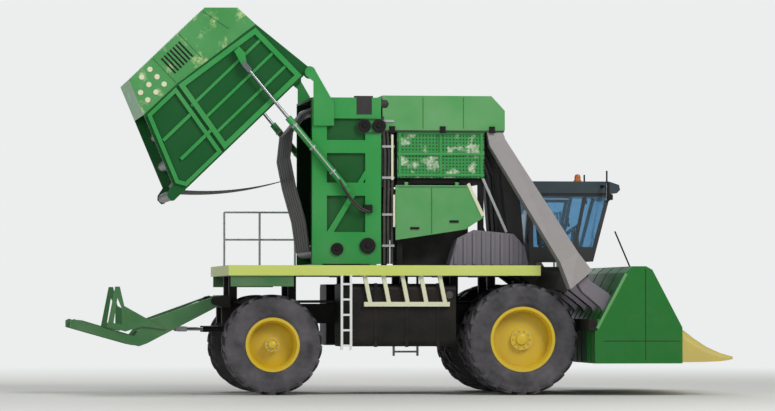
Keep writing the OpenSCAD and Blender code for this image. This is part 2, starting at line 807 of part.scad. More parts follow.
// Open duct of sheet through a list of rings that runs downwards
module duct(rings, wall) {
    n = len(rings);
    outer = [for (s = rings) each duct_ring(s, 0)];
    inner = [for (s = rings) each duct_ring(s, wall)];
    m = 4 * n;
    walls = [for (i = [0:n - 2], j = [0:3]) let (a = 4 * i + j, b = 4 * i + (j + 1) % 4) each concat(
        panel(a, b, b + 4, a + 4), panel(m + a + 4, m + b + 4, m + b, m + a))];
    ends = [for (j = [0:3]) let (k = (j + 1) % 4, e = m - 4) each concat(
        panel(j, m + j, m + k, k), panel(e + j, e + k, m + e + k, m + e + j))];
    polyhedron(points = concat(outer, inner), faces = concat(walls, ends), convexity = 6);
}

unit_ys = [for (i = [0:2]) (i + 0.5) * row_pitch];
duct_top_ys = [240, 720, 1130];
duct_top_x = -hood_front - 180;
// Mouth of an upper duct, where the lower duct slides in
duct_mouth_x = 960;
// Rings of the three ducts of one side, from the hood down
duct_rings = [
    [[duct_top_x, duct_top_ys[0], hood_z, 280, 340, 0], [-330, 240, 4480, 290, 340, 15],
        [-100, 240, 3900, 290, 340, 8], [-20, 240, 2650, 280, 340, 5], [110, 250, 2230, 260, 340, 45],
        [380, 300, 2030, 260, 340, 78], [700, unit_ys[0], 1990, 330, 380, 75],
        [duct_mouth_x, unit_ys[0], 1990, 460, 400, 60]],
    [[duct_top_x, duct_top_ys[1], hood_z, 280, 340, 0], [-330, 720, 4480, 290, 340, 15],
        [-90, 1040, 3900, 290, 340, 10], [20, 1100, 2650, 280, 340, 5], [110, 1100, 2230, 280, 340, 45],
        [380, 1160, 2030, 280, 340, 78], [700, unit_ys[1], 2010, 330, 380, 75],
        [duct_mouth_x, unit_ys[1], 1990, 460, 400, 60]],
    [[duct_top_x, duct_top_ys[2], hood_z, 280, 340, 0], [-320, 1150, 4450, 300, 340, 20],
        [770, unit_ys[2] - 150, 2410, 360, 380, 28], [duct_mouth_x, unit_ys[2], 2010, 500, 400, 40]]];

module upper_ducts_left() {
    color(steel) at_axle() for (r = duct_rings) duct(r, 20);
}

module upper_ducts_right() {
    color(steel) at_axle() mirror([0, 1, 0]) for (r = duct_rings) duct(r, 20);
}

// Hopper under the hood, its front open where the ducts enter
module accumulator() {
    x = [-bin_rear, -bin_front];
    w = body_half_w - 40;
    color(green) at_axle() difference() {
        block(x, [-w, w], [bin_z, hood_z]);
        block([x[0] + sheet, x[1] - sheet], [-w + sheet, w - sheet], [bin_z + sheet, hood_z + 1]);
    }
}

module accumulator_hood() {
    z1 = hood_z + hood_h;
    outline = [[-hood_rear, hood_z], [-hood_front, hood_z], [-hood_front, z1 - 260],
        [-hood_front - 240, z1],
        [-hood_rear, z1]];
    color(pale_green) at_axle() {
        difference() {
            across(-hood_half_w, hood_half_w) polygon(outline);
            across(-hood_half_w + sheet, hood_half_w - sheet) polygon(inset(outline, sheet));
            block([-bin_rear + sheet, -bin_front - sheet], [-body_half_w + 100, body_half_w - 100],
                [hood_z - 1, hood_z + 100]);
            both_sides() for (y = duct_top_ys)
                block([duct_top_x - 120, duct_top_x + 120], [y - 150, y + 150], [hood_z - 1, hood_z + 100]);
        }
    }
}

// Walls of the chamber's front half
chamber_outline = [[hinge_x + 30, chamber_bottom], [-chamber_front, chamber_bottom],
    [-chamber_front, chamber_top],
    [hinge_x + 30, chamber_top]];
module chamber_shell() {
    color(dark_green) at_axle() {
        both_sides() across(chamber_half_w, chamber_half_w + side_t) polygon(chamber_outline);
        block([-chamber_front - 40, -chamber_front], [-chamber_half_w, chamber_half_w],
            [chamber_bottom, chamber_top]);
        block([hinge_x + 30, -chamber_front - 40], [-chamber_half_w, chamber_half_w],
            [chamber_top - 40, chamber_top]);
    }
}

// Posts, beams and hinge brackets outside the walls
module chamber_frame() {
    y0 = body_half_w;
    z = [chamber_bottom, chamber_top];
    x0 = hinge_x + 40;
    x1 = -chamber_front;
    color(green) at_axle() {
        both_sides() {
            block([x0, x0 + 260], [y0, y0 + 60], z);
            block([x1 - 280, x1], [y0, y0 + 60], z);
            for (b = [[0, 560], [1200, 1430], [1950, 2180], [chamber_h - 400, chamber_h - 30]])
                block([x0 + 260, x1 - 280], [y0, y0 + 60], [z[0] + b[0], z[0] + b[1]]);
            // Diagonal strut
            across(y0, y0 + 60) polygon([[x0 + 260, z[0] + 560], [x0 + 380, z[0] + 560],
                [x1 - 280, z[0] + 1500],
                [x1 - 280, z[0] + 1650]]);
            hinge_bracket(y0 + 70);
            // Base pin of the gate cylinder
            shaft(gate_base[0], gate_base[1], 100, y0, gate_cyl_y - 35 - side_gap);
            shaft(gate_base[0], gate_base[1], 70, y0, gate_cyl_y + 45);
            shaft(gate_base[0], gate_base[1], 100, gate_cyl_y + 35 + side_gap, gate_cyl_y + 55);
        }
        for (x = [x0 + 60, x1 - 200]) block([x, x + 120], [-y0 - 60, y0 + 60], [deck_z, chamber_bottom]);
    }
}

// Plate that reaches up to the gate hinge, outside the gate's side plate
module hinge_bracket(y) {
    across(y - 70, y) polygon([[hinge_x + 60, chamber_top - 500], [hinge_x + 420, chamber_top - 260],
        [hinge_x + 420, chamber_top - 500]]);
    across(y, y + 40) union() {
        translate([hinge_x, hinge_z]) circle(d = 190);
        polygon([[hinge_x + 60, chamber_top - 500], [hinge_x + 420, chamber_top - 500],
            [hinge_x + 420, chamber_top - 100], [hinge_x + 70, hinge_z + 65], [hinge_x - 40, hinge_z - 85],
            [hinge_x + 60, hinge_z - 160]]);
    }
    shaft(hinge_x, hinge_z, hinge_pin_d, chamber_half_w - 20, y + 20);
}

// Rollers of the front half: [x from the hinge, height above the deck, diameter]
front_roller_table = [[150, 250, 240], [480, 200, 240], [860, 230, 260], [1060, 560, 200],
    [1080, chamber_h - 260, 180], [620, chamber_h - 200, 160], [130, chamber_h - 220, 180]];
module chamber_rollers() {
    y = chamber_half_w - seat_gap;
    color(black) at_axle() for (r = front_roller_table)
        shaft(hinge_x + r[0], deck_z + r[1], r[2], -y, y);
}

// Belts that hang between the top and bottom rollers when the gate stands open
belt_pitch = (chamber_half_w - 40) / 3;
belt_w = 0.825 * belt_pitch;
belt_ys = [for (i = [-3:2]) i * belt_pitch + (belt_pitch - belt_w) / 2];
module front_belts() {
    t = 25;
    top = front_roller_table[6];
    // Face that runs on the rollers, from the top down
    face = [[top[0] - top[2] / 2 - curve_gap, top[1]], [-275, top[1] - 390], [-325, top[1] - 840],
        [-225, 1400], [-55, 800], [27, 250]];
    color(black) at_axle() for (y = belt_ys) across(y, y + belt_w) translate([hinge_x, deck_z])
        polygon(concat(face, [for (i = [len(face) - 1:-1:0]) face[i] - [t, t / 3]]));
}

module in_gate() {
    translate([front_axle_x + hinge_x, 0, hinge_z]) rotate([0, gate_open, 0]) children();
}

// Closed outlines from the hinge: the side plate, and the housing behind it
gate_side = [[-30, 60], [-1270, -100], [-1470, -1830], [-1480, -2630], [-250, -3110], [-215, -3270],
    [-160, -3330], [-60, -3330], [-30, -3290]];
wrap_outline = [[-1270, -100], [-1700, -130], [-2100, -550], [-2100, -2390], [-1480, -2630],
    [-1470, -1830]];

module gate_shell() {
    color(dark_green) in_gate() {
        both_sides() across(chamber_half_w, chamber_half_w + side_t) difference() {
            union() {
                polygon(gate_side);
                circle(d = 220);
            }
            circle(d = hinge_pin_d + 2 * pin_gap);
        }
        across(-chamber_half_w - 5, chamber_half_w + 5)
            polygon([[-180, -15], [-180, 25], [-1255, -114], [-1255, -154]]);
    }
}

// Raised edge round the side plate
module gate_frame() {
    y0 = body_half_w;
    upper = [[-60, -140], [-1230, -150], [-1440, -1830], [-60, -2030]];
    color(pale_green) in_gate() both_sides() {
        across(y0, y0 + 50) band(upper, 90);
        across(y0, y0 + 50) band([[-1440, -1890], [-1440, -2590], [-230, -3060], [-60, -2960],
            [-60, -2090]], 70);
        // Stiffeners in the upper field, between the bands
        for (x = [-400, -720, -1040]) block([x, x + 50], [y0, y0 + 30], [-1920, -240]);
        for (x = [-500, -950]) block([x, x + 60], [y0, y0 + 40], [-2700, -1970]);
        gate_lug(y0);
    }
}

// Lug of the gate cylinder between the fork's ears, with its foot beyond their reach
module gate_lug(y0) {
    foot = gate_eye + [-220, 90];
    y = [gate_cyl_y - 20, gate_cyl_y + 20];
    across(y[0], y[1]) union() {
        translate(gate_eye) circle(d = 90);
        polygon([gate_eye + [17, 42], foot + [70, 60], foot + [-70, 60], foot + [-70, -60],
            gate_eye + [-17, -42]]);
    }
    block([foot[0] - 70, foot[0] + 70], [y0, y[1]], [foot[1] - 60, foot[1] + 60]);
}

// Housing with the wrapping gear, over the whole width behind the side plates
module wrap_housing() {
    w = body_half_w;
    color(pale_green) in_gate() difference() {
        across(-w, w) polygon(wrap_outline);
        across(-w + 40, w - 40) polygon(inset(wrap_outline, 40));
    }
}

// Belts that line the gate run on rollers round the chamber: [direction, diameter]
gate_belt_r = round_r - 80;
gate_roller_table = [[112, 150], [130, 150], [150, 150], [203, 130], [230, 180], [256, 200]];
module gate_rollers() {
    y = chamber_half_w - seat_gap;
    color(black) in_gate() {
        for (t = gate_roller_table) {
            r = gate_belt_r + curve_gap + t[1] / 2;
            shaft(round_dx + r * cos(t[0]), round_dz + r * sin(t[0]), t[1], -y, y);
        }
        shaft(-150, -2960, 170, -y, y);
        shaft(-115, -3235, 170, -y, y);
    }
}

module gate_belts() {
    t = 25;
    color(black) in_gate() for (y = belt_ys) across(y, y + belt_w) translate([round_dx, round_dz])
        intersection() {
            difference() {
                circle(r = gate_belt_r, $fn = 96);
                circle(r = gate_belt_r - t, $fn = 96);
            }
            polygon([[0, 0], [-500, 1600], [-2500, 1600], [-2500, -1600], [-200, -1600]]);
        }
}

// Cylinder barrel from its base pivot towards its eye
module barrel(base, eye, y, d, len, bore) {
    a = atan2(eye[1] - base[1], eye[0] - base[0]);
    translate([base[0], y, base[1]]) rotate([0, -a, 0]) difference() {
        union() {
            translate([65, 0, 0]) rotate([0, 90, 0]) cylinder(d = d, h = len - 65);
            translate([0, -35, -40]) cube([80, 70, 80]);
            rotate([90, 0, 0]) translate([0, 0, -35]) cylinder(d = 110, h = 70);
        }
        rotate([90, 0, 0]) translate([0, 0, -200]) cylinder(d = bore + 2 * pin_gap, h = 400);
        translate([110, 0, 0]) rotate([0, 90, 0]) cylinder(d = d * 0.5 + 2 * pin_gap, h = len);
    }
}

// Rod with a fork whose ears stand clear of the lug between them
module rod(base, eye, y, d, inside, lug_t) {
    v = eye - base;
    a = atan2(v[1], v[0]);
    reach = norm(v);
    fork = 110;
    translate([base[0], y, base[1]]) rotate([0, -a, 0]) {
        translate([inside, 0, 0]) rotate([0, 90, 0]) cylinder(d = d * 0.5, h = reach - fork - 30 - inside);
        translate([reach - fork - 40, -lug_t / 2 - side_gap - 25, -45])
            cube([40, lug_t + 2 * side_gap + 50, 90]);
        for (s = [-1, 1]) translate([0, s * (lug_t / 2 + side_gap + 12.5), 0]) {
            translate([reach - fork, -12.5, -45]) cube([fork, 25, 90]);
            translate([reach, 12.5, 0]) rotate([90, 0, 0]) cylinder(d = 90, h = 25);
        }
    }
}

module gate_cylinder_barrels() {
    color(black) at_axle() both_sides() barrel(gate_base, gate_eye_open, gate_cyl_y, 120, 1650, 70);
}

module gate_cylinder_rods() {
    color(steel) at_axle() both_sides() rod(gate_base, gate_eye_open, gate_cyl_y, 120, 1150, 40);
}

module cradle_cylinder_barrels() {
    color(black) at_axle() both_sides() barrel(cradle_base, cradle_eye, cradle_cyl_y, 110, 660, 60);
}

module cradle_cylinder_rods() {
    color(steel) at_axle() both_sides() rod(cradle_base, cradle_eye, cradle_cyl_y, 110, 395, 40);
}

module header_cylinder_barrels() {
    color(black) at_axle() both_sides() barrel(header_base, header_eye, header_cyl_y, 110, 500, 60);
}

module header_cylinder_rods() {
    color(steel) at_axle() both_sides() rod(header_base, header_eye, header_cyl_y, 110, 330, 40);
}

// V-shaped cradle: hinge eye, front leg, bottom and rear leg, from the front axle
cradle_side = [[-5250, 1750], [-5200, 1680], [-5215, 1590], [-5270, 1540], [-6500, 900], [-6640, 850],
    [-6780, 880],
    [-tail_reach, 1180], [-tail_reach, 1300], [-tail_reach + 60, 1330], [-6900, 1070], [-6720, 1030],
        [-6500, 1300]];
module cradle() {
    w = cradle_half_w;
    cy = [w - cradle_beam_w, w];
    color(dark_green) at_axle() {
        both_sides() {
            across(cy[0], cy[1]) difference() {
                union() {
                    polygon([for (i = [len(cradle_side) - 1:-1:0]) cradle_side[i]]);
                    translate([-cradle_hinge_back, cradle_hinge_z]) circle(d = 170);
                }
                translate([-cradle_hinge_back, cradle_hinge_z]) circle(d = 70 + 2 * pin_gap);
            }
            // Side guards
            across(w, w + 40) difference() {
                polygon([[-7200, 1190], [-6880, 1110], [-6600, 1200], [-6170, 1150], [-6900, 1560],
                    [-6980, 1900],
                    [-7060, 1900]]);
                polygon([[-7090, 1260], [-6940, 1230], [-6940, 1500], [-7020, 1700]]);
            }
            // Cylinder lug, held by the cross tube
            across(cradle_cyl_y - 20, cradle_cyl_y + 20) union() {
                translate(cradle_eye) circle(d = 90);
                polygon([cradle_eye + [30, 34], [-6050, 1350], [-6120, 1280], cradle_eye + [-30, -34]]);
            }
        }
        // Cross tubes
        for (p = [[-6090, 1310], [-6640, 960], [-7700, 1240]])
            block([p[0] - 60, p[0] + 60], [-cy[0], cy[0]], [p[1] - 50, p[1] + 50]);
        // Trough plates
        across(-cy[0], cy[0]) polygon([[-5480, 1620], [-5490, 1640], [-6590, 1110], [-6580, 1080]]);
        across(-cy[0], cy[0]) polygon([[-6700, 1000], [-6700, 1030], [-7640, 1310], [-7640, 1285]]);
    }
}

// Tool beam that carries the units, on two arms from the lift pivot
module header_frame() {
    reach_y = unit_ys[2] + unit_w / 2;
    color(black) at_axle() {
        block(beam_x, [-reach_y, reach_y], beam_z);
        both_sides() difference() {
            across(lift_arm_y - 40, lift_arm_y + 40) union() {
                translate([lift_x, lift_z]) circle(d = 180);
                polygon([[lift_x, lift_z - 90], [beam_x[0] + 20, beam_z[0]], [beam_x[0] + 20, beam_z[1]],
                    [lift_x, lift_z + 90]]);
            }
            shaft(lift_x, lift_z, 90 + 2 * pin_gap, 0, 2000);
        }
        // Lugs of the header cylinders
        both_sides() across(header_cyl_y - 20, header_cyl_y + 20) union() {
            translate(header_eye) circle(d = 90);
            polygon([header_eye + [0, -45], [beam_x[0] + 20, beam_z[0]], [beam_x[0] + 20, beam_z[1]],
                header_eye + [0, 45]]);
        }
    }
}

// Side outline of a picking unit
unit_outline = [[unit_rear, unit_z], [unit_front, unit_z], [unit_front, unit_z + 0.37 * unit_h],
    [2170, unit_top - 60], [2060, unit_top], [1830, unit_top], [1700, unit_top - 110],
        [unit_rear, unit_z + 0.33 * unit_h]];

// Height of the row throat, and the shelf that carries the drums
throat_top = unit_top - 420;
shelf_z = unit_z + 1140;
// Drums of a unit: the front one on the right of the row, the rear one on the left
drum_d = 290;
drum_table = [[2250, -210], [1620, 210]];
// Beam behind the units
beam_x = [1050, 1200];
beam_z = [lift_z - 320, lift_z - 120];
// Lean of the unit's rear slope, and the middle of the duct's seat on it
slope = unit_outline[6] - unit_outline[7];
slope_lean = atan2(slope[1], slope[0]);
duct_seat = unit_outline[7] + slope * 0.47;

// Picking unit: a hollow cabinet on each side of the row throat, open at the bottom
module row_unit() {
    skin = 20;
    w = unit_w / 2;
    t = throat_w / 2;
    inside = inset(unit_outline, skin);
    difference() {
        union() {
            difference() {
                across(-w, w) polygon(unit_outline);
                across(-w + skin, w - skin) polygon(inside);
                block([unit_rear + skin, unit_front - skin], [-w + skin, w - skin],
                    [unit_z - 1, unit_z + skin + 1]);
            }
            // Walls beside the throat with a window for each drum, the throat's roof, and the shelf
            for (s = [-1, 1]) difference() {
                across(min(s * t, s * (t + skin)), max(s * t, s * (t + skin))) intersection() {
                    polygon(unit_outline);
                    translate([0, 0]) square([4000, throat_top + skin]);
                }
                for (d = drum_table) if (d[1] * s > 0)
                    block([d[0] - 170, d[0] + 170], [-w, w], [unit_z + 40, shelf_z - 30]);
            }
            across(-t, t) intersection() {
                polygon(unit_outline);
                translate([0, throat_top]) square([4000, skin]);
            }
            across(-w + skin / 2, w - skin / 2) intersection() {
                polygon(inset(unit_outline, skin / 2));
                translate([0, shelf_z]) square([4000, skin]);
            }
            // Mounting bars on the beam
            for (s = [-1, 1]) block([beam_x[1], beam_x[1] + 110],
                [min(s * t, s * w), max(s * t, s * w)], beam_z);
        }
        block([1000, 3000], [-t, t], [0, throat_top]);
        block([1000, beam_x[1]], [-unit_w, unit_w], beam_z);
        // Outlet into the lower duct
        translate([duct_seat[0], 0, duct_seat[1]]) rotate([0, -slope_lean, 0])
            cube([230, 230, 130], center = true);
    }
}

module row_units(side) {
    color(dark_green) at_axle() for (y = unit_ys) translate([0, side * y, 0]) row_unit();
}

// Drums with their shafts, hung from the shelves of the units
module picker_drums() {
    z = [unit_z + 80, shelf_z - 60];
    color(steel) at_axle() for (y = unit_ys, s = [-1, 1], d = drum_table)
        translate([d[0], s * y + d[1], 0]) {
        translate([0, 0, z[0]]) cylinder(d = 190, h = z[1] - z[0]);
        for (h = [z[0], z[1] - 25]) translate([0, 0, h]) cylinder(d = drum_d, h = 25);
        translate([0, 0, z[1]]) cylinder(d = 70, h = shelf_z - z[1]);
    }
}

module unit_noses() {
    z0 = unit_z;
    color(nose_yellow) at_axle() both_sides() for (y = unit_ys, s = [-1, 1]) translate([0, y, 0])
        mirror([0, s < 0 ? 1 : 0, 0]) nose(z0);
}

// Section of a nose: its inner and outer Y, underside and top, with a rounded crown of n points
function nose_ring(x, y0, y1, z0, z1) = let (m = (y0 + y1) / 2, r = (y1 - y0) / 2,
    c = z1 - min(r, (z1 - z0) * 0.7))
    concat([[x, y0, z0], [x, y1, z0]], [for (i = [0:8]) [x, m + r * cos(i * 22.5),
        c + (z1 - c) * sin(i * 22.5)]]);

// Gathering nose of one cabinet, which narrows, bends outwards and sinks towards its tip
module nose(z0) {
    y = [throat_w / 2 + 10, unit_w / 2 - 10];
    reach = nose_reach - unit_front;
    top = z0 + 0.37 * unit_h - 10;
    rings = [for (t = [0, 0.25, 0.5, 0.75, 0.92, 1])
        nose_ring(unit_front + seat_gap + t * (reach - seat_gap),
        y[0] + (y[1] - y[0] - 90) * pow(t, 1.15), y[1] - 12 * t - 28 * pow(t, 8),
            z0 + 20 + 25 * pow(t, 2) + 30 * pow(t, 8),
        top - (top - z0 - 150) * sin(90 * t) - 30 * pow(t, 8))];
    k = 11;
    n = len(rings);
    polyhedron(points = [for (r = rings) each r], convexity = 3, faces = concat(
        [for (i = [0:n - 2], j = [0:k - 1]) let (a = k * i + j, b = k * i + (j + 1) % k)
            each panel(a, a + k, b + k, b)],
        [for (j = [1:k - 2]) [0, j, j + 1]],
        [for (j = [1:k - 2]) [k * (n - 1), k * (n - 1) + j + 1, k * (n - 1) + j]]));
}

// Lower ducts from the rear slope of each unit up into the mouth of the upper duct
module lower_ducts() {
    seat = duct_seat + 0.2 * [-sin(slope_lean), cos(slope_lean)];
    color(lilac_grey) at_axle() both_sides() for (i = [0:2]) {
        y = unit_ys[i];
        top = i == 2 ? [968, y, 2022, 205, 220, 50] : [915, y, 1964, 188, 260, 65];
        mid = i == 2 ? [1060, y, 1900, 240, 280, 52] : [1110, y, 1850, 250, 290, 60];
        foot = [seat[0] - 40, y, seat[1] + 60, 280, 300, 61];
        duct([top, mid, foot, [seat[0], y, seat[1], 300, 300, slope_lean]], 15);
    }
}

main_frame();
front_axle();
rear_axle_beam();  // rear_axle
side_platforms();
deck_edges();
side_rack();
ladders();
fuel_tank();
water_tank();
engine_block();
engine_enclosure();
service_door(1);  // service_door_left
service_door(-1);  // service_door_right
fan_housings();
handrails();
cab_shell();
cab_roof();
cab_glass();
cab_door();
door_glass();
seat();
steering_console();
mirrors();
upper_ducts_left();
upper_ducts_right();
accumulator();
accumulator_hood();
chamber_shell();
chamber_frame();
chamber_rollers();
front_belts();
gate_shell();
gate_frame();
wrap_housing();
gate_rollers();
gate_belts();
gate_cylinder_barrels();
gate_cylinder_rods();
cradle();
cradle_cylinder_barrels();
cradle_cylinder_rods();
header_frame();
lower_ducts();
row_units(1);  // row_units_left
row_units(-1);  // row_units_right
picker_drums();
unit_noses();
header_cylinder_barrels();
header_cylinder_rods();
front_tyres(1);  // front_tyres_left
front_tyres(-1);  // front_tyres_right
front_wheels(1);  // front_wheels_left
front_wheels(-1);  // front_wheels_right
knuckle(1);  // knuckle_left
knuckle(-1);  // knuckle_right
rear_tyre(1);  // rear_tyre_left
rear_tyre(-1);  // rear_tyre_right
rear_wheel(1);  // rear_wheel_left
rear_wheel(-1);  // rear_wheel_right
tie_rod();
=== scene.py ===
"""Looks of a six-row self-propelled cotton picker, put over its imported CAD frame.

Metres, +X forward, +Y to the machine's left, +Z up. A place is written at(x, y, z), with x counted
ahead of the front axle, and sign is 1 on the left side and -1 on the right. Every shape is a closed
section carried along a path or a profile turned about an axis, worked out as whole numpy arrays.
"""
import math

import bpy
import numpy as np
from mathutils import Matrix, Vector


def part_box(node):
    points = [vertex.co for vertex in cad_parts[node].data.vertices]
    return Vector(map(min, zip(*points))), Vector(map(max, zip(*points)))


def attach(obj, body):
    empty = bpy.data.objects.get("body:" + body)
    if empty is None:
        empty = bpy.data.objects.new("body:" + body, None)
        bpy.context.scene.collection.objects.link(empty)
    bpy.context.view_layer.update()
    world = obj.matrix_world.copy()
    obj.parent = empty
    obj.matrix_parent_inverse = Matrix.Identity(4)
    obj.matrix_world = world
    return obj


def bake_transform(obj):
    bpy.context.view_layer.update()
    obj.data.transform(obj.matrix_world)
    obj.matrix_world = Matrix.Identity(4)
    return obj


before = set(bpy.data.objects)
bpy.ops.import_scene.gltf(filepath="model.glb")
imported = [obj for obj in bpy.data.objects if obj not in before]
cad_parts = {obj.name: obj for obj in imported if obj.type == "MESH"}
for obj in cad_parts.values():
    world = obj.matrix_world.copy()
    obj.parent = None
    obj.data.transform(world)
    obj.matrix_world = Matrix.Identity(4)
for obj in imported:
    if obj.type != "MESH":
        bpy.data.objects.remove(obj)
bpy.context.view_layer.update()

# ---- Places taken from the frame ----

front_lo, front_hi = (np.array(v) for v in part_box("front_tyres_right"))
rear_lo, rear_hi = (np.array(v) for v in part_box("rear_tyre_right"))
FRONT_AXLE = (front_lo[0] + front_hi[0]) / 2
REAR_AXLE = (rear_lo[0] + rear_hi[0]) / 2
FRONT_RADIUS = (front_hi[2] - front_lo[2]) / 2
REAR_RADIUS = (rear_hi[2] - rear_lo[2]) / 2

SIDES = {"left": 1, "right": -1}
AHEAD, ACROSS, UPRIGHT = (1, 0, 0), (0, 1, 0), (0, 0, 1)


# ---- Nodes and patterns ----

def linear(code):
    """Linear RGBA of an sRGB hex colour: v / 12.92 near black, ((v + 0.055) / 1.055) ^ 2.4 above."""
    v = np.array([int(code[i:i + 2], 16) for i in (1, 3, 5)]) / 255
    return (*np.where(v <= 0.04045, v / 12.92, ((v + 0.055) / 1.055) ** 2.4), 1.0)


def fill(node, sockets):
    """Fills a node's inputs with values, other sockets, or the first live output of other nodes."""
    for key, value in sockets.items():
        if isinstance(value, bpy.types.Node):
            value = next(output for output in value.outputs if output.enabled)
        if isinstance(value, bpy.types.NodeSocket):
            node.id_data.links.new(value, node.inputs[key])
        else:
            node.inputs[key].default_value = value


def add(tree, kind, settings=None, sockets=None):
    """Adds a shader node, sets its settings and fills its inputs."""
    node = tree.nodes.new("ShaderNode" + kind)
    for name, value in (settings or {}).items():
        setattr(node, name, value)
    fill(node, sockets or {})
    return node


# A mix of two colours, and its sockets: the share of the colour that lies over the one under it
COLOURS = {"data_type": "RGBA"}
SHARE, UNDER, OVER = 0, 6, 7
PRODUCT = {"operation": "MULTIPLY"}
MM_PER_METRE = 1000


def new_material(name, shader):
    """Makes a material whose Principled shader gets the given inputs; returns it, its tree and shader."""
    material = bpy.data.materials.new(name)
    material.use_nodes = True
    tree = material.node_tree
    tree.nodes.clear()
    surface = add(tree, "BsdfPrincipled", sockets=shader)
    add(tree, "OutputMaterial", sockets={"Surface": surface})
    return material, tree, surface


def blotches(tree, size_mm, levels=(0.0, 1.0), to=(0.0, 1.0), detail=4.0, rough=0.5):
    """Uneven cover in blotches about size_mm across: noise whose levels are spread evenly to new ones."""
    place = add(tree, "TexCoord").outputs["Object"]
    noise = add(tree, "TexNoise", sockets={
        "Vector": place, "Scale": MM_PER_METRE / size_mm, "Detail": detail, "Roughness": rough})
    return add(tree, "MapRange", sockets={
        "Value": noise, "From Min": levels[0], "From Max": levels[1], "To Min": to[0], "To Max": to[1]})


def spots(tree, pitch_mm, levels, to):
    """Round spots pitch_mm apart: distance to a lattice's nearest point, its levels spread to new ones."""
    place = add(tree, "TexCoord").outputs["Object"]
    lattice = add(tree, "TexVoronoi", sockets={
        "Vector": place, "Scale": MM_PER_METRE / pitch_mm, "Randomness": 0.0})
    return add(tree, "MapRange", sockets={
        "Value": lattice, "From Min": levels[0], "From Max": levels[1], "To Min": to[0], "To Max": to[1]})


DRY_DUST = "#A79A80"
TYRE_SOIL = "#8C868B"
CHALK = "#E8EBDD"
# Heights in metres between which the dust thins out
DUST_LOW, DUST_HIGH = 0.2, 3.2
# Widths in mm of what the patterns draw
DUST_PATCH, FADED_PATCH, BLEACHED_PATCH, WORN_PATCH = 420, 900, 700, 180
SHEET_DENT, PALE_SPECK, RUBBER_GRAIN = 260, 45, 25
# Widths in mm, drawn coarse, as real ones of about 1 mm would not show
PLASTIC_GRAIN, CLOTH_THREAD = 6, 12
# Pitches in mm, drawn coarse, as real studs and holes some 25 and 10 mm apart would not show
STUD_PITCH, HOLE_PITCH = 55, 60


def dusty(tree, base, low, high, soil=DRY_DUST):
    """Dry dust over a colour: blotchy, its share going evenly from low near the ground to high above."""
    place = add(tree, "TexCoord").outputs["Object"]
    height = add(tree, "SeparateXYZ", sockets={"Vector": place}).outputs["Z"]
    lean = add(tree, "MapRange", sockets={
        "Value": height, "From Min": DUST_LOW, "From Max": DUST_HIGH, "To Min": low, "To Max": high})
    patches = blotches(tree, DUST_PATCH, (0.35, 0.7), (0.25, 1.0), 6.0, 0.6)
    return add(tree, "Mix", COLOURS, {
        SHARE: add(tree, "Math", PRODUCT, {0: lean, 1: patches}), UNDER: base, OVER: linear(soil)})


def lint_and_highlight(tree, under, share, mark_mm, code, bare):
    """Pale blotches, lint on the hopper and painted highlights on the housing: fine marks times broad
    marks, with none where the broad marks' noise is below bare.
    """
    broad_marks = blotches(tree, mark_mm, (bare, bare + 0.1), (0.0, share), 3.0)
    fine_marks = blotches(tree, PALE_SPECK, (0.42, 0.58), (0.2, 1.0), 6.0, 0.7)
    return add(tree, "Mix", COLOURS, {
        SHARE: add(tree, "Math", PRODUCT, {0: broad_marks, 1: fine_marks}), UNDER: under, OVER: linear(code)})


# ---- Enamels ----

def sheet_paint(name, code, dust, roughness=0.38, coat=0.25, fade=0.08, shine=0.5, studded=False):
    """Machine enamel on steel: a soft gloss with broad uneven fading and a film of dust.

    dust is its share at the ground and above, and fade the most that is bleached. Tread plate has
    round studs, and plain sheet has faint wide dents.
    """
    material, tree, surface = new_material(name, {
        "Roughness": roughness, "Coat Weight": coat, "Coat Roughness": 0.2, "Specular IOR Level": shine})
    faded = add(tree, "Mix", COLOURS, {
        SHARE: blotches(tree, FADED_PATCH, (0.3, 0.7), (0.0, fade)), UNDER: linear(code),
        OVER: linear(CHALK)})
    if studded:
        studs = spots(tree, STUD_PITCH, (0.25, 0.4), (1.0, 0.0))
        bump = add(tree, "Bump", sockets={"Height": studs, "Strength": 0.6, "Distance": 0.004})
    else:
        dents = blotches(tree, SHEET_DENT, detail=2.0)
        bump = add(tree, "Bump", sockets={"Height": dents, "Strength": 0.06, "Distance": 0.01})
    fill(surface, {"Base Color": dusty(tree, faded, *dust), "Normal": bump})
    return material


# Side frames of gate and chamber: the freshest green, with little dust
leaf_paint = sheet_paint(
    "green enamel on frame tube", "#0F8C36", (0.14, 0.02), coat=0.15, fade=0.05, shine=0.35)
# Cradle and seams: the same enamel, deeper and glossier
shade_paint = sheet_paint("deep green enamel on sheet steel", "#0F6428", (0.16, 0.03), fade=0.04)
# Gate sheets set back between their frames: dull, and dark as painted shade of the frames' depth
recess_painted_shade = sheet_paint(
    "deep green enamel on recessed gate sheets", "#055220", (0.05, 0.01), coat=0.0, fade=0.01, shine=0.2)
# Chamber sheets behind the side frame: dull, and darkened as painted shade behind the frame
inner_painted_shade = sheet_paint(
    "green enamel on sheet steel darkened as painted shade", "#08521F", (0.1, 0.02), coat=0.0, fade=0.02, shine=0.2)
# Cabinets of the row units: smooth and strong green, rubbed clean in use
unit_paint = sheet_paint(
    "glossy green enamel on the picking units", "#006A1E", (0.05, 0.02), roughness=0.3, coat=0.15,
    fade=0.01, shine=0.3)
# Hood and engine covers: pale and chalky
pale_paint = sheet_paint("sun-bleached green enamel on sheet steel", "#3B9244", (0.2, 0.05), fade=0.09)
# Rims and hub caps: golden yellow with little dust, darkened toward olive as painted shade
rim_paint_darkened_as_shade = sheet_paint("golden enamel on pressed steel rims", "#D2B008", (0.1, 0.06), fade=0.02)
# Walkways: studs that catch the light over the same deep green
tread_paint = sheet_paint(
    "deep green enamel on studded tread plate", "#0F6428", (0.3, 0.1), fade=0.04, studded=True)
# Deck edge: a clean lemon line along the machine
edge_paint = sheet_paint("lemon enamel on rolled channel", "#C3CE5E", (0.1, 0.05))
# Brackets and trim: warm off-white
cream_paint = sheet_paint("cream enamel on brackets and trim", "#D6D5B4", (0.1, 0.05))
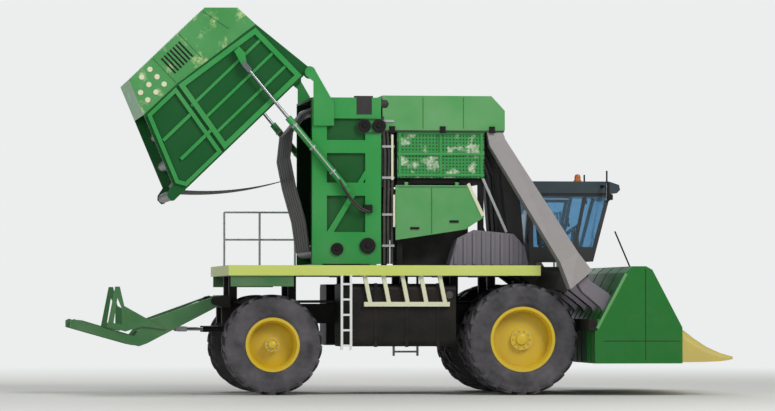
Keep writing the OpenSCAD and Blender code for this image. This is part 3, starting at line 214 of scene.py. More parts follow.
# Frame, axles and small ironwork: almost black and without gloss; the frame's rails and skirts under the
# deck are black as painted shade
chassis_black_and_painted_shade = sheet_paint(
    "black chassis enamel and painted shade on welded steel", "#090A0C", (0.07, 0.02), roughness=0.5, coat=0.0, fade=0.0,
    shine=0.2)
# Ladders and rails: cool white
ladder_paint = sheet_paint("white enamel on ladder tube", "#DDE0DF", (0.1, 0.04))
# Cab posts and door frame: a glossier black than the frame's
cab_paint = sheet_paint("black enamel on cab posts", "#15171A", (0.06, 0.03), roughness=0.3, fade=0.02)


# ---- Plastics, metals and rubber ----

def moulded(name, code, roughness, dust=(0.2, 0.05), shine=0.5):
    """Moulded plastic: one even colour with a fine matt skin."""
    material, tree, surface = new_material(name, {"Roughness": roughness, "Specular IOR Level": shine})
    grains = blotches(tree, PLASTIC_GRAIN)
    bump = add(tree, "Bump", sockets={"Height": grains, "Strength": 0.1, "Distance": 0.001})
    fill(surface, {"Base Color": dusty(tree, linear(code), *dust), "Normal": bump})
    return material


# Noses: waxy straw yellow, the dustiest plastic
nose_plastic = moulded("straw-coloured rotationally moulded polyethylene", "#C3B054", 0.42, (0.25, 0.1))
# Tanks: black that barely shines, with little dust, as painted shade under the deck
tank_painted_shade_plastic = moulded(
    "black rotationally moulded polyethylene", "#090A0C", 0.5, (0.06, 0.02), shine=0.2)
# Cab roof: smooth dark slate
roof_plastic = moulded("dark blue-grey thermoformed ABS", "#22363F", 0.35)
# Inner ducts: dull black, as painted shade between the outer ducts
duct_painted_shade_plastic = moulded("black polyethylene darkened as painted shade", "#141517", 0.6, (0.1, 0.03))
# Fan housings and lower ducts: faded to a lilac grey
panel_plastic = moulded("lilac-grey moulded polyethylene", "#6E6972", 0.55, (0.12, 0.04))
# Cab trim and caps: plain charcoal
trim_plastic = moulded("charcoal moulded ABS", "#2B2E31", 0.6)


def worn_metal(name, code, roughness, spread, metallic=1.0):
    """Bare or plated metal whose roughness grows by up to spread in weathered patches."""
    material, tree, surface = new_material(name, {"Metallic": metallic})
    gloss = blotches(tree, WORN_PATCH, (0.3, 0.7), (roughness, roughness + spread), 8.0, 0.65)
    fill(surface, {"Base Color": dusty(tree, linear(code), 0.25, 0.05), "Roughness": gloss})
    return material


# Outer ducts: oxidised, so more grey than metal
duct_metal = worn_metal("weathered aluminium sheet of the ducts", "#969190", 0.5, 0.2, metallic=0.35)
# Bolts, clips, braces and tie rod: dull zinc
steel = worn_metal("galvanised steel sections", "#A8ABAA", 0.45, 0.2, metallic=0.6)
# Rollers and manifold: dark, with turning marks too fine to show
roller_steel = worn_metal("turned steel rollers", "#5E6062", 0.35, 0.15)
# Cylinder rods: the most mirror-like metal after the mirrors
chrome = worn_metal("oiled chrome on cylinder rods", "#8F9496", 0.22, 0.08)
# Drums and spindle bars: bright where they are rubbed
drum_steel = worn_metal("crop-polished steel of the picking drums", "#8E8F8C", 0.3, 0.2)
# Engine: dark, greasy and half matt
engine_iron = worn_metal("oily cast iron", "#2B2C2D", 0.55, 0.2, metallic=0.4)


def rubber(name, code, dust, roughness=0.75, soil=DRY_DUST):
    """Moulded black rubber, matt, with dry soil rubbed into its grain."""
    material, tree, surface = new_material(name, {"Roughness": roughness})
    grains = blotches(tree, RUBBER_GRAIN)
    bump = add(tree, "Bump", sockets={"Height": grains, "Strength": 0.15, "Distance": 0.003})
    fill(surface, {"Base Color": dusty(tree, linear(code), *dust, soil), "Normal": bump})
    return material


# Tyres: black greyed by soil up to the rim
tyre_rubber = rubber("vulcanised tyre rubber", "#141517", (0.45, 0.25), soil=TYRE_SOIL)
# Belts and hoses: cleaner and a little smoother
belt_rubber = rubber("ribbed endless rubber belt", "#191B1D", (0.2, 0.12), 0.6)


# ---- Glass, lenses, linted sheets and cloth ----

# Cab windows: clear, with a pale blue tint
cab_pane, _, _ = new_material("blue-tinted tempered glass", {
    "Base Color": linear("#9CC6E0"), "Roughness": 0.03, "IOR": 1.5, "Transmission Weight": 0.92})
# Mirrors: silver behind glass, with sharp reflections
silvered, _, _ = new_material("silvered mirror glass", {
    "Base Color": linear("#E6EAEC"), "Metallic": 1.0, "Roughness": 0.04})
# Beacon: deep orange that lets some light through
amber, _, _ = new_material("amber polycarbonate lens", {
    "Base Color": linear("#E07A10"), "Roughness": 0.12, "IOR": 1.58, "Transmission Weight": 0.4})
# Work lamps: glassy and almost white, as over a reflector
lamp_glass, _, _ = new_material("clear polycarbonate lens", {
    "Base Color": linear("#E8ECEE"), "Roughness": 0.08, "IOR": 1.58, "Specular IOR Level": 0.6})
# Tail lamps: unlit, dark glossy red
tail_red, _, _ = new_material("red acrylic lens", {
    "Base Color": linear("#A3150F"), "Roughness": 0.15, "IOR": 1.49})

# Hopper sheet: rows of round holes in bright green, dark as painted shade seen through them, under pale
# lint
screen_sheet, screen_tree, screen_surface = new_material("perforated green sheet steel", {
    "Roughness": 0.45})
holed = add(screen_tree, "Mix", COLOURS, {
    SHARE: spots(screen_tree, HOLE_PITCH, (0.26, 0.34), (0.0, 1.0)), UNDER: linear("#0A2411"),
    OVER: linear("#24893C")})
fill(screen_surface, {"Base Color": lint_and_highlight(screen_tree, holed, 0.8, 200, "#D8D9C4", 0.54)})

# Wrapping housing: bleached in broad patches, with yellowish blotches on it that are partly lint and partly
# painted highlights
lint_and_highlight_paint, lint_and_highlight_tree, lint_and_highlight_surface = new_material("bleached green enamel with lint and painted highlights", {
    "Roughness": 0.42, "Coat Weight": 0.2})
bleached = add(lint_and_highlight_tree, "Mix", COLOURS, {
    SHARE: blotches(lint_and_highlight_tree, BLEACHED_PATCH, (0.3, 0.7), (0.0, 0.3)), UNDER: linear("#37893F"),
    OVER: linear("#6FAE74")})
fill(lint_and_highlight_surface, {"Base Color": lint_and_highlight(lint_and_highlight_tree, bleached, 0.6, 260, "#CFDC9C", 0.56)})

# Seat: woven cloth, charcoal with a soft sheen
seat_cloth, seat_tree, seat_surface = new_material("woven seat cloth", {
    "Roughness": 0.9, "Sheen Weight": 0.3})
fill(seat_surface, {"Base Color": add(seat_tree, "Mix", COLOURS, {
    SHARE: blotches(seat_tree, CLOTH_THREAD), UNDER: linear("#2A2D31"), OVER: linear("#3B3F44")})})

NODE_FINISHES = (
    (leaf_paint, "chamber_frame gate_frame gate_cylinder_barrels"),
    (shade_paint, "cradle"),
    (recess_painted_shade, "gate_shell"),
    (inner_painted_shade, "chamber_shell"),
    (unit_paint, "row_units_left row_units_right"),
    (pale_paint, "accumulator_hood service_door_left service_door_right"),
    (lint_and_highlight_paint, "wrap_housing"),
    (screen_sheet, "accumulator"),
    (rim_paint_darkened_as_shade, "front_wheels_left front_wheels_right rear_wheel_left rear_wheel_right"),
    (tread_paint, "side_platforms"),
    (edge_paint, "deck_edges"),
    (cream_paint, "side_rack"),
    (ladder_paint, "ladders handrails"),
    (cab_paint, "cab_shell cab_door"),
    (chassis_black_and_painted_shade, "main_frame front_axle rear_axle engine_enclosure mirrors header_frame"),
    (chassis_black_and_painted_shade, "knuckle_left knuckle_right cradle_cylinder_barrels header_cylinder_barrels"),
    (tank_painted_shade_plastic, "fuel_tank water_tank"),
    (panel_plastic, "fan_housings lower_ducts"),
    (roof_plastic, "cab_roof"),
    (trim_plastic, "steering_console"),
    (nose_plastic, "unit_noses"),
    (duct_metal, "upper_ducts_left upper_ducts_right"),
    (roller_steel, "chamber_rollers gate_rollers"),
    (chrome, "gate_cylinder_rods cradle_cylinder_rods header_cylinder_rods"),
    (drum_steel, "picker_drums"),
    (steel, "tie_rod"),
    (engine_iron, "engine_block"),
    (tyre_rubber, "front_tyres_left front_tyres_right rear_tyre_left rear_tyre_right"),
    (belt_rubber, "front_belts gate_belts"),
    (cab_pane, "cab_glass door_glass"),
    (seat_cloth, "seat"))

for finish, nodes in NODE_FINISHES:
    for node in nodes.split():
        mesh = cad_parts[node].data
        mesh.materials.clear()
        mesh.materials.append(finish)

# The inner and middle ducts are black as painted shade; the line between them and the outer one moves in
# with height
DUCT_HEIGHTS, DUCT_LINE = (2.0, 2.3, 3.9, 4.45), (1.9, 1.45, 1.235, 0.935)
for side in SIDES:
    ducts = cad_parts[f"upper_ducts_{side}"].data
    middles = np.empty(3 * len(ducts.polygons))
    ducts.polygons.foreach_get("center", middles)
    middles = middles.reshape(-1, 3)
    outer = np.abs(middles[:, 1]) > np.interp(middles[:, 2], DUCT_HEIGHTS, DUCT_LINE)
    ducts.materials.append(duct_painted_shade_plastic)
    ducts.polygons.foreach_set("material_index", np.where(outer, 0, 1))


# ---- Shapes ----

SHARP_EDGE = math.radians(40)


def piece(name, vertices, faces, finish, body):
    """Makes one object at the origin from vertex and face rows, and rides it on a body if it has one."""
    name = name.replace(" ", "_")
    mesh = bpy.data.meshes.new(name)
    mesh.from_pydata(vertices.tolist(), [], faces)
    mesh.polygons.foreach_set("use_smooth", np.full(len(mesh.polygons), True))
    mesh.set_sharp_from_angle(angle=SHARP_EDGE)
    mesh.materials.append(finish)
    shown = bpy.data.objects.new(name, mesh)
    bpy.context.collection.objects.link(shown)
    if body:
        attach(shown, body)
    return shown


def skin(rows, columns, closed_rows=False):
    """Quads of a grid of closed rings: each has points j and j + 1 of rings i and i + 1 for corners.

    closed_rows also joins the last ring to the first.
    """
    last = rows if closed_rows else rows - 1
    i, j = np.meshgrid(np.arange(last), np.arange(columns), indexing="ij")
    k, n = (j + 1) % columns, (i + 1) % rows
    corners = [i * columns + j, i * columns + k, n * columns + k, n * columns + j]
    return np.stack(corners, -1).reshape(-1, 4).tolist()


def capped(rows, columns):
    """Grid of rings with an end face on the first and the last one."""
    first, last = range(columns), range((rows - 1) * columns, rows * columns)
    return skin(rows, columns) + [list(first)[::-1], list(last)]


def joined(parts):
    """One vertex array and face list from several pairs: face rows move up by the points before them."""
    starts = np.cumsum([0] + [len(v) for v, _ in parts])
    faces = [[i + start for i in face] for start, (_, rows) in zip(starts, parts) for face in rows]
    return np.concatenate([v for v, _ in parts]), faces


def at(x, y, z):
    """Place, or an array of places, given by the distance ahead of the front axle."""
    return np.stack(np.broadcast_arrays(FRONT_AXLE + np.asarray(x), y, z), -1)


def circle(radius, sides):
    """Closed outline of a circle: radius * (cos a, sin a)."""
    a = np.arange(sides) * 2 * np.pi / sides
    return radius * np.stack([np.cos(a), np.sin(a)], -1)


def rounded(width, depth, corner, steps=3):
    """Closed rectangle outline: a quarter circle about each corner's centre in turn, counter-clockwise."""
    a = np.concatenate([np.linspace(q, q + np.pi / 2, steps + 1) for q in np.arange(4) * np.pi / 2])
    quarter = np.repeat(np.arange(4), steps + 1)
    sx, sy = np.array([1, -1, -1, 1])[quarter], np.array([1, 1, -1, -1])[quarter]
    x, y = sx * (width / 2 - corner) + corner * np.cos(a), sy * (depth / 2 - corner) + corner * np.sin(a)
    return np.stack([x, y], -1)


def carried(section, path, up=UPRIGHT):
    """Closed section carried along a path.

    Each ring is the path's point plus the section's first value times across and its second times
    rise, where across is square to the path and to up, and rise is square to across and the path.
    """
    path = np.asarray(path, float)
    along = np.gradient(path, axis=0)
    along /= np.linalg.norm(along, axis=1, keepdims=True)
    across = np.cross(along, np.broadcast_to(np.asarray(up, float), path.shape))
    across /= np.linalg.norm(across, axis=1, keepdims=True)
    rise = np.cross(across, along)
    rings = path[:, None] + section[None, :, :1] * across[:, None] + section[None, :, 1:] * rise[:, None]
    return rings.reshape(-1, 3), capped(len(path), len(section))


def straight(section, a, b, up=UPRIGHT):
    """Closed section carried from a to b."""
    return carried(section, np.array([a, b]), up)


def looped(section, path):
    """Closed section carried round a closed path in X and Z: as carried, with rise across the machine."""
    along = np.roll(path, -1, 0) - np.roll(path, 1, 0)
    along /= np.linalg.norm(along, axis=1, keepdims=True)
    rise = np.asarray(ACROSS, float)
    across = np.cross(along, rise)
    rings = path[:, None] + section[None, :, :1] * across[:, None] + section[None, :, 1:] * rise
    return rings.reshape(-1, 3), skin(len(path), len(section), True)


def bowed(a, b, sag, steps):
    """Path from a to b that hangs by sag: the straight line less 4 sag t (1 - t) in height."""
    t = np.linspace(0, 1, steps)[:, None]
    return (1 - t) * np.asarray(a) + t * np.asarray(b) - np.array([0, 0, 4 * sag]) * t * (1 - t)


def turned(profile, centre, axis, sides=32):
    """Profile of (radius, offset) rows turned about an axis.

    Each ring is the centre plus radius times a spoke plus offset along the axis, and the ends close on
    the axis or by a face.
    """
    axis = np.asarray(axis, float) / np.linalg.norm(axis)
    side = np.cross(axis, UPRIGHT) if abs(axis[2]) < 0.9 else np.array(AHEAD, float)
    side /= np.linalg.norm(side)
    ring = circle(1, sides)
    spokes = ring[:, :1] * side + ring[:, 1:] * np.cross(axis, side)
    profile = np.asarray(profile, float)
    rings = np.asarray(centre) + profile[:, None, :1] * spokes[None] + profile[:, None, 1:] * axis
    return rings.reshape(-1, 3), capped(len(profile), sides)


def band(centre, axis, inner, outer, width):
    """Open ring round an axis: a rectangle of a width between two radii, turned about the axis."""
    sides = 28
    profile = [(inner, 0), (outer, 0), (outer, width), (inner, width)]
    return turned(profile, centre, axis, sides)[0], skin(len(profile), sides, True)


def slab(a, b, corner=0.008):
    """Plate or block between two opposite corners: a rounded rectangle carried straight up."""
    low, high = np.minimum(a, b), np.maximum(a, b)
    middle, size = (low + high) / 2, high - low
    outline = rounded(size[0], size[1], min(corner, size[0] / 3, size[1] / 3)) + middle[:2]
    ends = [np.column_stack([outline, np.full(len(outline), z)]) for z in (low[2], high[2])]
    return np.concatenate(ends), capped(2, len(outline))


def strip(points, width, depth, y):
    """Flat bar through (x, z) points at y, its width in the plane of X and Z and its depth along Y."""
    x, z = np.transpose(points)
    return carried(rounded(width, depth, min(width, depth) / 4, 2), at(x, y, z), ACROSS)


# Width of the dark line that shows where two sheets meet
SEAM = 0.012


# ---- Wheels ----

BOLT_HEAD = [(0, 0), (0.014, 0), (0.014, 0.018), (0.009, 0.022), (0, 0.022)]
HUB_RADIUS = {"front": 0.19, "rear": 0.13}
HUB_SLACK = 0.005
# Bolts of a hub, and the radius of their circle as a share of the hub's
BOLT_COUNT, BOLT_CIRCLE = 10, 0.78


def bolt_ring(centre, outward, radius, count):
    """Bolt heads round an axle along Y: each is the profile turned about a line through its own place."""
    places = [np.add(centre, (x, 0, z)) for x, z in circle(radius, count)]
    return joined([turned(BOLT_HEAD, place, (0, outward, 0), 6) for place in places])


def hub_end(node, axle, height, hub):
    """Distance out to a hub's end: that of the farthest vertex within the hub's radius of the axle."""
    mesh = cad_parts[node].data
    points = np.empty(3 * len(mesh.vertices))
    mesh.vertices.foreach_get("co", points)
    x, y, z = points.reshape(-1, 3).T
    return np.abs(y[np.hypot(x - axle, z - height) < hub + HUB_SLACK]).max()


for side, sign in SIDES.items():
    for end, axle, radius in (("front", FRONT_AXLE, FRONT_RADIUS), ("rear", REAR_AXLE, REAR_RADIUS)):
        body, hub = f"{end}_wheel_{side}", HUB_RADIUS[end]
        face = hub_end(body.replace("front_wheel", "front_wheels"), axle, radius, hub)
        place = (axle, sign * face, radius)
        bolts = bolt_ring(place, sign, hub * BOLT_CIRCLE, BOLT_COUNT)
        cap = [(0, 0.0), (hub * 0.55, 0.0), (hub * 0.48, 0.04), (hub * 0.3, 0.052), (0, 0.055)]
        piece(f"{end} hub bolts {side}", *bolts, steel, body)
        piece(f"{end} hub cap {side}", *turned(cap, place, (0, sign, 0)), rim_paint_darkened_as_shade, body)


# ---- Cab: beacon, work lamps, mirrors, wiper, grip, armrests ----

roof_lo, roof_hi = (np.array(v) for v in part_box("cab_roof"))
BEACON = [(0, 0), (0.07, 0), (0.07, 0.03), (0.055, 0.035), (0.055, 0.09), (0.04, 0.13), (0, 0.14)]
LAMP_LENS = [(0, 0), (0.042, 0), (0.04, 0.008), (0, 0.014)]
# How far the work lamps hang under the roof, and their places across
LAMP_DROP, LAMPS = 0.065, (-0.62, -0.25, 0.25, 0.62)
piece("beacon", *turned(BEACON, at(1.25, -0.5, roof_hi[2]), UPRIGHT), amber, "chassis")
for i, y in enumerate(LAMPS):
    spot = at(1.84, y, roof_lo[2] - LAMP_DROP)
    case = slab(spot - (0.05, 0.08, 0.05), spot + (0.02, 0.08, 0.05), 0.02)
    lens = turned(LAMP_LENS, spot + (0.02, 0, 0), AHEAD, 24)
    stem = straight(circle(0.012, 8), spot + (-0.01, 0, 0.04), spot + (-0.01, 0, LAMP_DROP + 0.001), AHEAD)
    piece(f"work lamp {i + 1}", *case, trim_plastic, "chassis")
    piece(f"work lamp lens {i + 1}", *lens, lamp_glass, "chassis")
    piece(f"work lamp stem {i + 1}", *stem, steel, "chassis")

for side, sign in SIDES.items():
    glass = slab(at(1.64, sign * 1.115, 3.435), at(1.646, sign * 1.265, 3.735), 0.002)
    piece(f"mirror glass {side}", *glass, silvered, "chassis")

# Windscreen: x and z of its foot, how far its head leans forward, and its height
SCREEN_FOOT, SCREEN_LEAN, SCREEN_HEIGHT = (1.48, 2.35), 0.32, 1.22


def screen_at(y, z, out):
    """Place a distance out from the screen, whose x grows by the lean's share of the height."""
    rise = (np.asarray(z) - SCREEN_FOOT[1]) / SCREEN_HEIGHT
    return at(SCREEN_FOOT[0] + SCREEN_LEAN * rise + out, y, z)


WIPER_HUB = [(0, 0), (0.03, 0), (0.03, 0.03), (0.02, 0.045), (0, 0.045)]
arm_path = screen_at([0.0, 0.12, 0.3], [2.5, 2.75, 3.1], [0.045, 0.04, 0.035])
blade_path = screen_at([0.22, 0.3, 0.38], [2.78, 3.1, 3.42], 0.026)
wiper = [carried(rounded(0.018, 0.01, 0.003, 1), arm_path),
         carried(rounded(0.014, 0.022, 0.004, 1), blade_path),
         turned(WIPER_HUB, screen_at(0.0, 2.5, 0.005), (1, 0, -0.26), 20)]
piece("windscreen wiper", *joined(wiper), trim_plastic, "chassis")

grip = carried(circle(0.011, 8), at(1.0, [0.8, 0.84, 0.84, 0.8], [2.62, 2.64, 2.86, 2.88]), AHEAD)
piece("cab door grip", *grip, trim_plastic, "cab_door")

# Distance of each armrest from the middle of the seat, and the heights of its pad
REST_OUT, PAD_LOW, PAD_HIGH = 0.32, 2.98, 3.04
rests = [slab(at(0.78, y - 0.045, PAD_LOW), at(1.14, y + 0.045, PAD_HIGH), 0.03)
         for y in (-REST_OUT, REST_OUT)]
rests += [straight(circle(0.02, 10), at(0.8, y, 2.72), at(0.8, y, PAD_LOW + 0.005), AHEAD)
          for y in (-REST_OUT, REST_OUT)]
rests += [straight(circle(0.018, 12), at(1.1, -REST_OUT, PAD_HIGH), at(1.12, -REST_OUT, 3.14), AHEAD)]
piece("armrests", *joined(rests), trim_plastic, "chassis")


# ---- Hydraulic hoses between the chassis and the lift frame ----

LIFT_HOSE_RADIUS = 0.019
for side, sign in SIDES.items():
    hoses = []
    for i in range(4):
        start, end = at(0.52, sign * (0.5 + 0.02 * i), 1.52), at(1.12, sign * (0.51 + 0.04 * i), 1.35)
        hoses.append(carried(circle(LIFT_HOSE_RADIUS, 10), bowed(start, end, 0.16 + 0.02 * i, 16)))
    bundle = piece(f"lift hoses {side}", *joined(hoses), belt_rubber, None)
    tuple(at(0.6, 0, 1.5))
    tuple(at(1.05, 0, 1.4))
    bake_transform(bundle)


# ---- Hopper and hood ----

# Height of the hood's rim, and how far out the hopper's bars, the hood's seal, seams and latches lie
HOOD_Z = 4.66
RAILS_OUT, POSTS_OUT, SEAL_OUT, SEAMS_OUT, LATCHES_OUT = 1.262, 1.264, 1.3, 1.322, 1.335
for side, sign in SIDES.items():
    bars = [strip([(-2.1, z), (-0.55, z)], 0.05, 0.03, sign * RAILS_OUT) for z in (3.87, 4.24, 4.62)]
    bars += [strip([(x, 3.84), (x, 4.64)], 0.045, 0.03, sign * POSTS_OUT) for x in (-2.06, -1.33, -0.6)]
    piece(f"hopper frame {side}", *joined(bars), leaf_paint, "chassis")
    seal = strip([(-2.37, HOOD_Z - 0.008), (-0.2, HOOD_Z - 0.008)], 0.05, 0.03, sign * SEAL_OUT)
    piece(f"hood seal {side}", *seal, belt_rubber, "chassis")
    seams = [strip([(x, HOOD_Z + 0.03), (x, 5.24)], SEAM, 0.01, sign * SEAMS_OUT) for x in (-1.65, -0.93)]
    piece(f"hood seams {side}", *joined(seams), shade_paint, "chassis")
    y = sign * LATCHES_OUT
    latches = [slab(at(x - 0.05, y - 0.015, HOOD_Z - 0.05), at(x + 0.05, y + 0.015, HOOD_Z + 0.07), 0.012)
               for x in (-2.2, -1.3, -0.42)]
    piece(f"hood latches {side}", *joined(latches), chassis_black_and_painted_shade, "chassis")


# ---- Drives and pipes on the chamber's sides ----

def pulley(x, z, radius, y, sign):
    """Grooved pulley on a shaft end: web, rim, groove and hub as one profile turned about Y from y."""
    profile = [(0, 0), (radius * 0.25, 0), (radius * 0.3, 0.012), (radius, 0.012), (radius * 0.9, 0.024),
               (radius, 0.036), (radius * 0.82, 0.04), (radius * 0.28, 0.026), (radius * 0.28, 0.052),
               (0, 0.056)]
    return turned(profile, at(x, y, z), (0, sign, 0), 28)


def belt_round(a, b, radius, y):
    """Belt round two equal pulleys: half a circle about each, joined by straight runs."""
    turn = math.atan2(b[1] - a[1], b[0] - a[0]) + np.pi / 2 - np.linspace(0, np.pi, 13)
    x = np.concatenate([b[0] + radius * np.cos(turn), a[0] - radius * np.cos(turn)])
    z = np.concatenate([b[1] + radius * np.sin(turn), a[1] - radius * np.sin(turn)])
    return looped(rounded(0.014, 0.024, 0.003, 1), at(x, y, z))


# Side face of the chamber's front half, and its pulleys as (x, z, radius), the belt's pair first
CHAMBER_FACE = 1.352
PULLEYS = [(-2.70, 4.73, 0.12), (-2.44, 4.73, 0.12), (-2.64, 2.62, 0.14), (-3.18, 2.56, 0.11)]
BELT_OUT = 0.024
MOTOR = [(0, 0), (0.09, 0), (0.1, 0.02), (0.1, 0.2), (0.07, 0.24), (0, 0.24)]
# Riser pipes: x and distance out of each, the bends in x that they share, and the bends' heights
RISERS = ((-2.34, 1.31), (-2.27, 1.29), (-2.2, 1.27), (-2.3, 1.24))
RISER_BENDS, RISER_HEIGHTS = np.array([0, 0, 0.02, -0.03]), (2.3, 3.2, 4.2, 4.9)
CLIPS_OUT, CLIP_HEIGHTS = 1.3, (2.6, 3.15, 3.8, 4.35, 4.8)
for side, sign in SIDES.items():
    face = sign * CHAMBER_FACE
    pulleys = [pulley(x, z, radius, face, sign) for x, z, radius in PULLEYS]
    piece(f"chamber pulleys {side}", *joined(pulleys), chassis_black_and_painted_shade, "chassis")
    driven, driver = PULLEYS[:2]
    belt = belt_round(driven[:2], driver[:2], driven[2], face + sign * BELT_OUT)
    piece(f"chamber drive belt {side}", *belt, belt_rubber, "chassis")
    gear = slab(at(-2.86, face, 4.93), at(-2.54, face - sign * 0.25, 5.26), 0.03)
    motor = turned(MOTOR, at(-2.5, sign * 1.25, 5.12), AHEAD, 24)
    piece(f"gearbox {side}", *joined([gear, motor]), engine_iron, "chassis")
    pipes = [carried(circle(0.028, 10), at(x + RISER_BENDS, sign * y, RISER_HEIGHTS), ACROSS)
             for x, y in RISERS]
    piece(f"riser pipes {side}", *joined(pipes), belt_rubber, "chassis")
    y = sign * CLIPS_OUT
    clips = [slab(at(-2.38, y - 0.045, z), at(-2.16, y + 0.045, z + 0.04), 0.01) for z in CLIP_HEIGHTS]
    piece(f"pipe clips {side}", *joined(clips), steel, "chassis")
    posts = [strip([(-2.17, 2.95), (-2.17, 3.52)], 0.04, 0.03, sign * 1.362),
             strip([(-2.2, 3.78), (-2.2, 4.58)], 0.04, 0.03, sign * 1.34)]
    piece(f"cream posts {side}", *joined(posts), cream_paint, "chassis")
    head, foot = at(-0.58, sign * 1.21, 3.84), at(-0.16, sign * 1.31, 2.86)
    piece(f"hopper brace {side}", *straight(rounded(0.05, 0.05, 0.012, 2), head, foot), steel, "chassis")

# Six slack belts between the gate's tip and the chamber
runs = [carried(rounded(0.3, 0.012, 0.003, 1), bowed(at(-6.02, y, 3.6), at(-3.98, y, 3.8), 0.1, 20))
        for y in np.linspace(-1, 1, 6)]
slack = piece("feeder belts", *joined(runs), belt_rubber, None)
tuple(at(-5.9, 0, 3.62))
tuple(at(-4.05, 0, 3.78))
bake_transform(slack)


# ---- Engine covers: edges, seams and grips ----

COVER_FACE = 1.345
COVER_SEAMS = ([(-2.1, 3.66), (-0.88, 3.66)], [(-1.5, 2.84), (-1.5, 3.64)])
COVER_GRIPS = ((-1.8, 2.93), (-1.1, 3.05))
for side, sign in SIDES.items():
    body = f"service_door_{side}"
    y = sign * COVER_FACE
    piece(f"cover edge {side}", *strip([(-0.585, 3.15), (-0.85, 3.72)], 0.06, 0.02, y), cream_paint, body)
    seams = [strip(line, SEAM, 0.01, y) for line in COVER_SEAMS]
    piece(f"cover seams {side}", *joined(seams), shade_paint, body)
    grips = [slab(at(x - 0.08, y - 0.015, z - 0.02), at(x + 0.08, y + 0.02, z + 0.02), 0.01)
             for x, z in COVER_GRIPS]
    piece(f"cover grips {side}", *joined(grips), chassis_black_and_painted_shade, body)


# ---- Gate: seams, vents and round covers of the wrapping housing, the covers cream as painted highlights ----

GATE_HINGE = (-3.66, 5.67)
GATE_OPEN = math.radians(46)
HOUSING_FACE = 1.292
HOUSING_SEAMS = (
    [(-1.53, -0.5), (-2.07, -0.62)], [(-1.5, -1.2), (-2.08, -1.2)], [(-1.49, -1.83), (-2.08, -1.83)])
VENT_HEIGHTS = np.arange(-1.72, -1.28, 0.07)
ROUND_COVER = [(0, 0), (0.05, 0), (0.045, 0.012), (0, 0.014)]
# Three rows of round covers as (x, z) places, the last row one short
COVER_PLACES = [(x, z) for z in (-2.0, -2.2, -2.4) for x in (-1.62, -1.8, -1.98)][:-1]


def on_gate(x, y, z):
    """Open place of a point given from the hinge with the gate closed: a turn about the hinge."""
    x, z = np.asarray(x), np.asarray(z)
    c, n = math.cos(GATE_OPEN), math.sin(GATE_OPEN)
    return at(GATE_HINGE[0] + x * c + z * n, y, GATE_HINGE[1] - x * n + z * c)


def gate_line(points, width, y):
    """Flat line through (x, z) points of the closed gate, carried as strip carries it, on the open gate."""
    x, z = np.transpose(points)
    return carried(rounded(width, SEAM, 0.003, 1), on_gate(x, y, z), ACROSS)


for side, sign in SIDES.items():
    y = sign * HOUSING_FACE
    seams = [gate_line(line, SEAM, y) for line in HOUSING_SEAMS]
    piece(f"housing seams {side}", *joined(seams), shade_paint, "gate")
    vents = [gate_line([(-1.62, z), (-1.98, z)], 0.03, y) for z in VENT_HEIGHTS]
    piece(f"housing vents {side}", *joined(vents), chassis_black_and_painted_shade, "gate")
    # Cream round covers, as painted highlights on the housing's lower rear
    covers = [turned(ROUND_COVER, on_gate(x, y, z), (0, sign, 0), 20) for x, z in COVER_PLACES]
    piece(f"housing covers {side}", *joined(covers), cream_paint, "gate")


# ---- Gate cylinders: a pipe and bands on each barrel, and hoses to it ----

# Each cylinder's foot and its rod's eye as (x, z), and its lean from the foot
CYLINDER_FOOT, CYLINDER_EYE = (-3.0, 3.6), (-4.82, 5.78)
LEAN = math.atan2(CYLINDER_EYE[1] - CYLINDER_FOOT[1], CYLINDER_EYE[0] - CYLINDER_FOOT[0])
BARREL_OUT, BAND_INNER, BAND_OUTER, BAND_WIDTH = 1.42, 0.0605, 0.068, 0.03
# Pipe on each barrel: lengths up from the foot, and distances out
PIPE_UP, PIPE_OUT = (1.52, 1.5, 1.4, 0.5, 0.24), (1.47, 1.5, 1.505, 1.505, 1.505)
for side, sign in SIDES.items():
    def along(s, y):
        """Place a length s up this side's cylinder from its foot, at a distance y out."""
        reach, rise = np.multiply(s, math.cos(LEAN)), np.multiply(s, math.sin(LEAN))
        return at(CYLINDER_FOOT[0] + reach, np.multiply(sign, y), CYLINDER_FOOT[1] + rise)

    pipe = carried(circle(0.012, 8), along(PIPE_UP, PIPE_OUT), ACROSS)
    axis = (math.cos(LEAN), 0, math.sin(LEAN))
    bands = [band(along(s, BARREL_OUT), axis, BAND_INNER, BAND_OUTER, BAND_WIDTH)
             for s in (0.4, 0.95, 1.45)]
    piece(f"gate cylinder pipe {side}", *joined([pipe] + bands), steel, "gate_barrels")
    block = slab(at(-2.72, sign * 1.34, 3.2), at(-2.56, sign * BARREL_OUT, 3.34), 0.012)
    piece(f"hose block {side}", *block, chassis_black_and_painted_shade, "chassis")
    hoses = []
    for i in range(2):
        start, end = at(-2.6 - 0.05 * i, sign * 1.415, 3.22), along(0.24, 1.505 - 0.03 * i)
        hoses.append(carried(circle(0.016, 10), bowed(start, end, 0.12 + 0.03 * i, 16)))
    bundle = piece(f"gate cylinder hoses {side}", *joined(hoses), belt_rubber, None)
    tuple(at(-2.65, sign * 1.42, 3.25))
    tuple(along(0.22, 1.5))
    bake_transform(bundle)


# ---- Engine: cylinder head and exhaust manifold ----

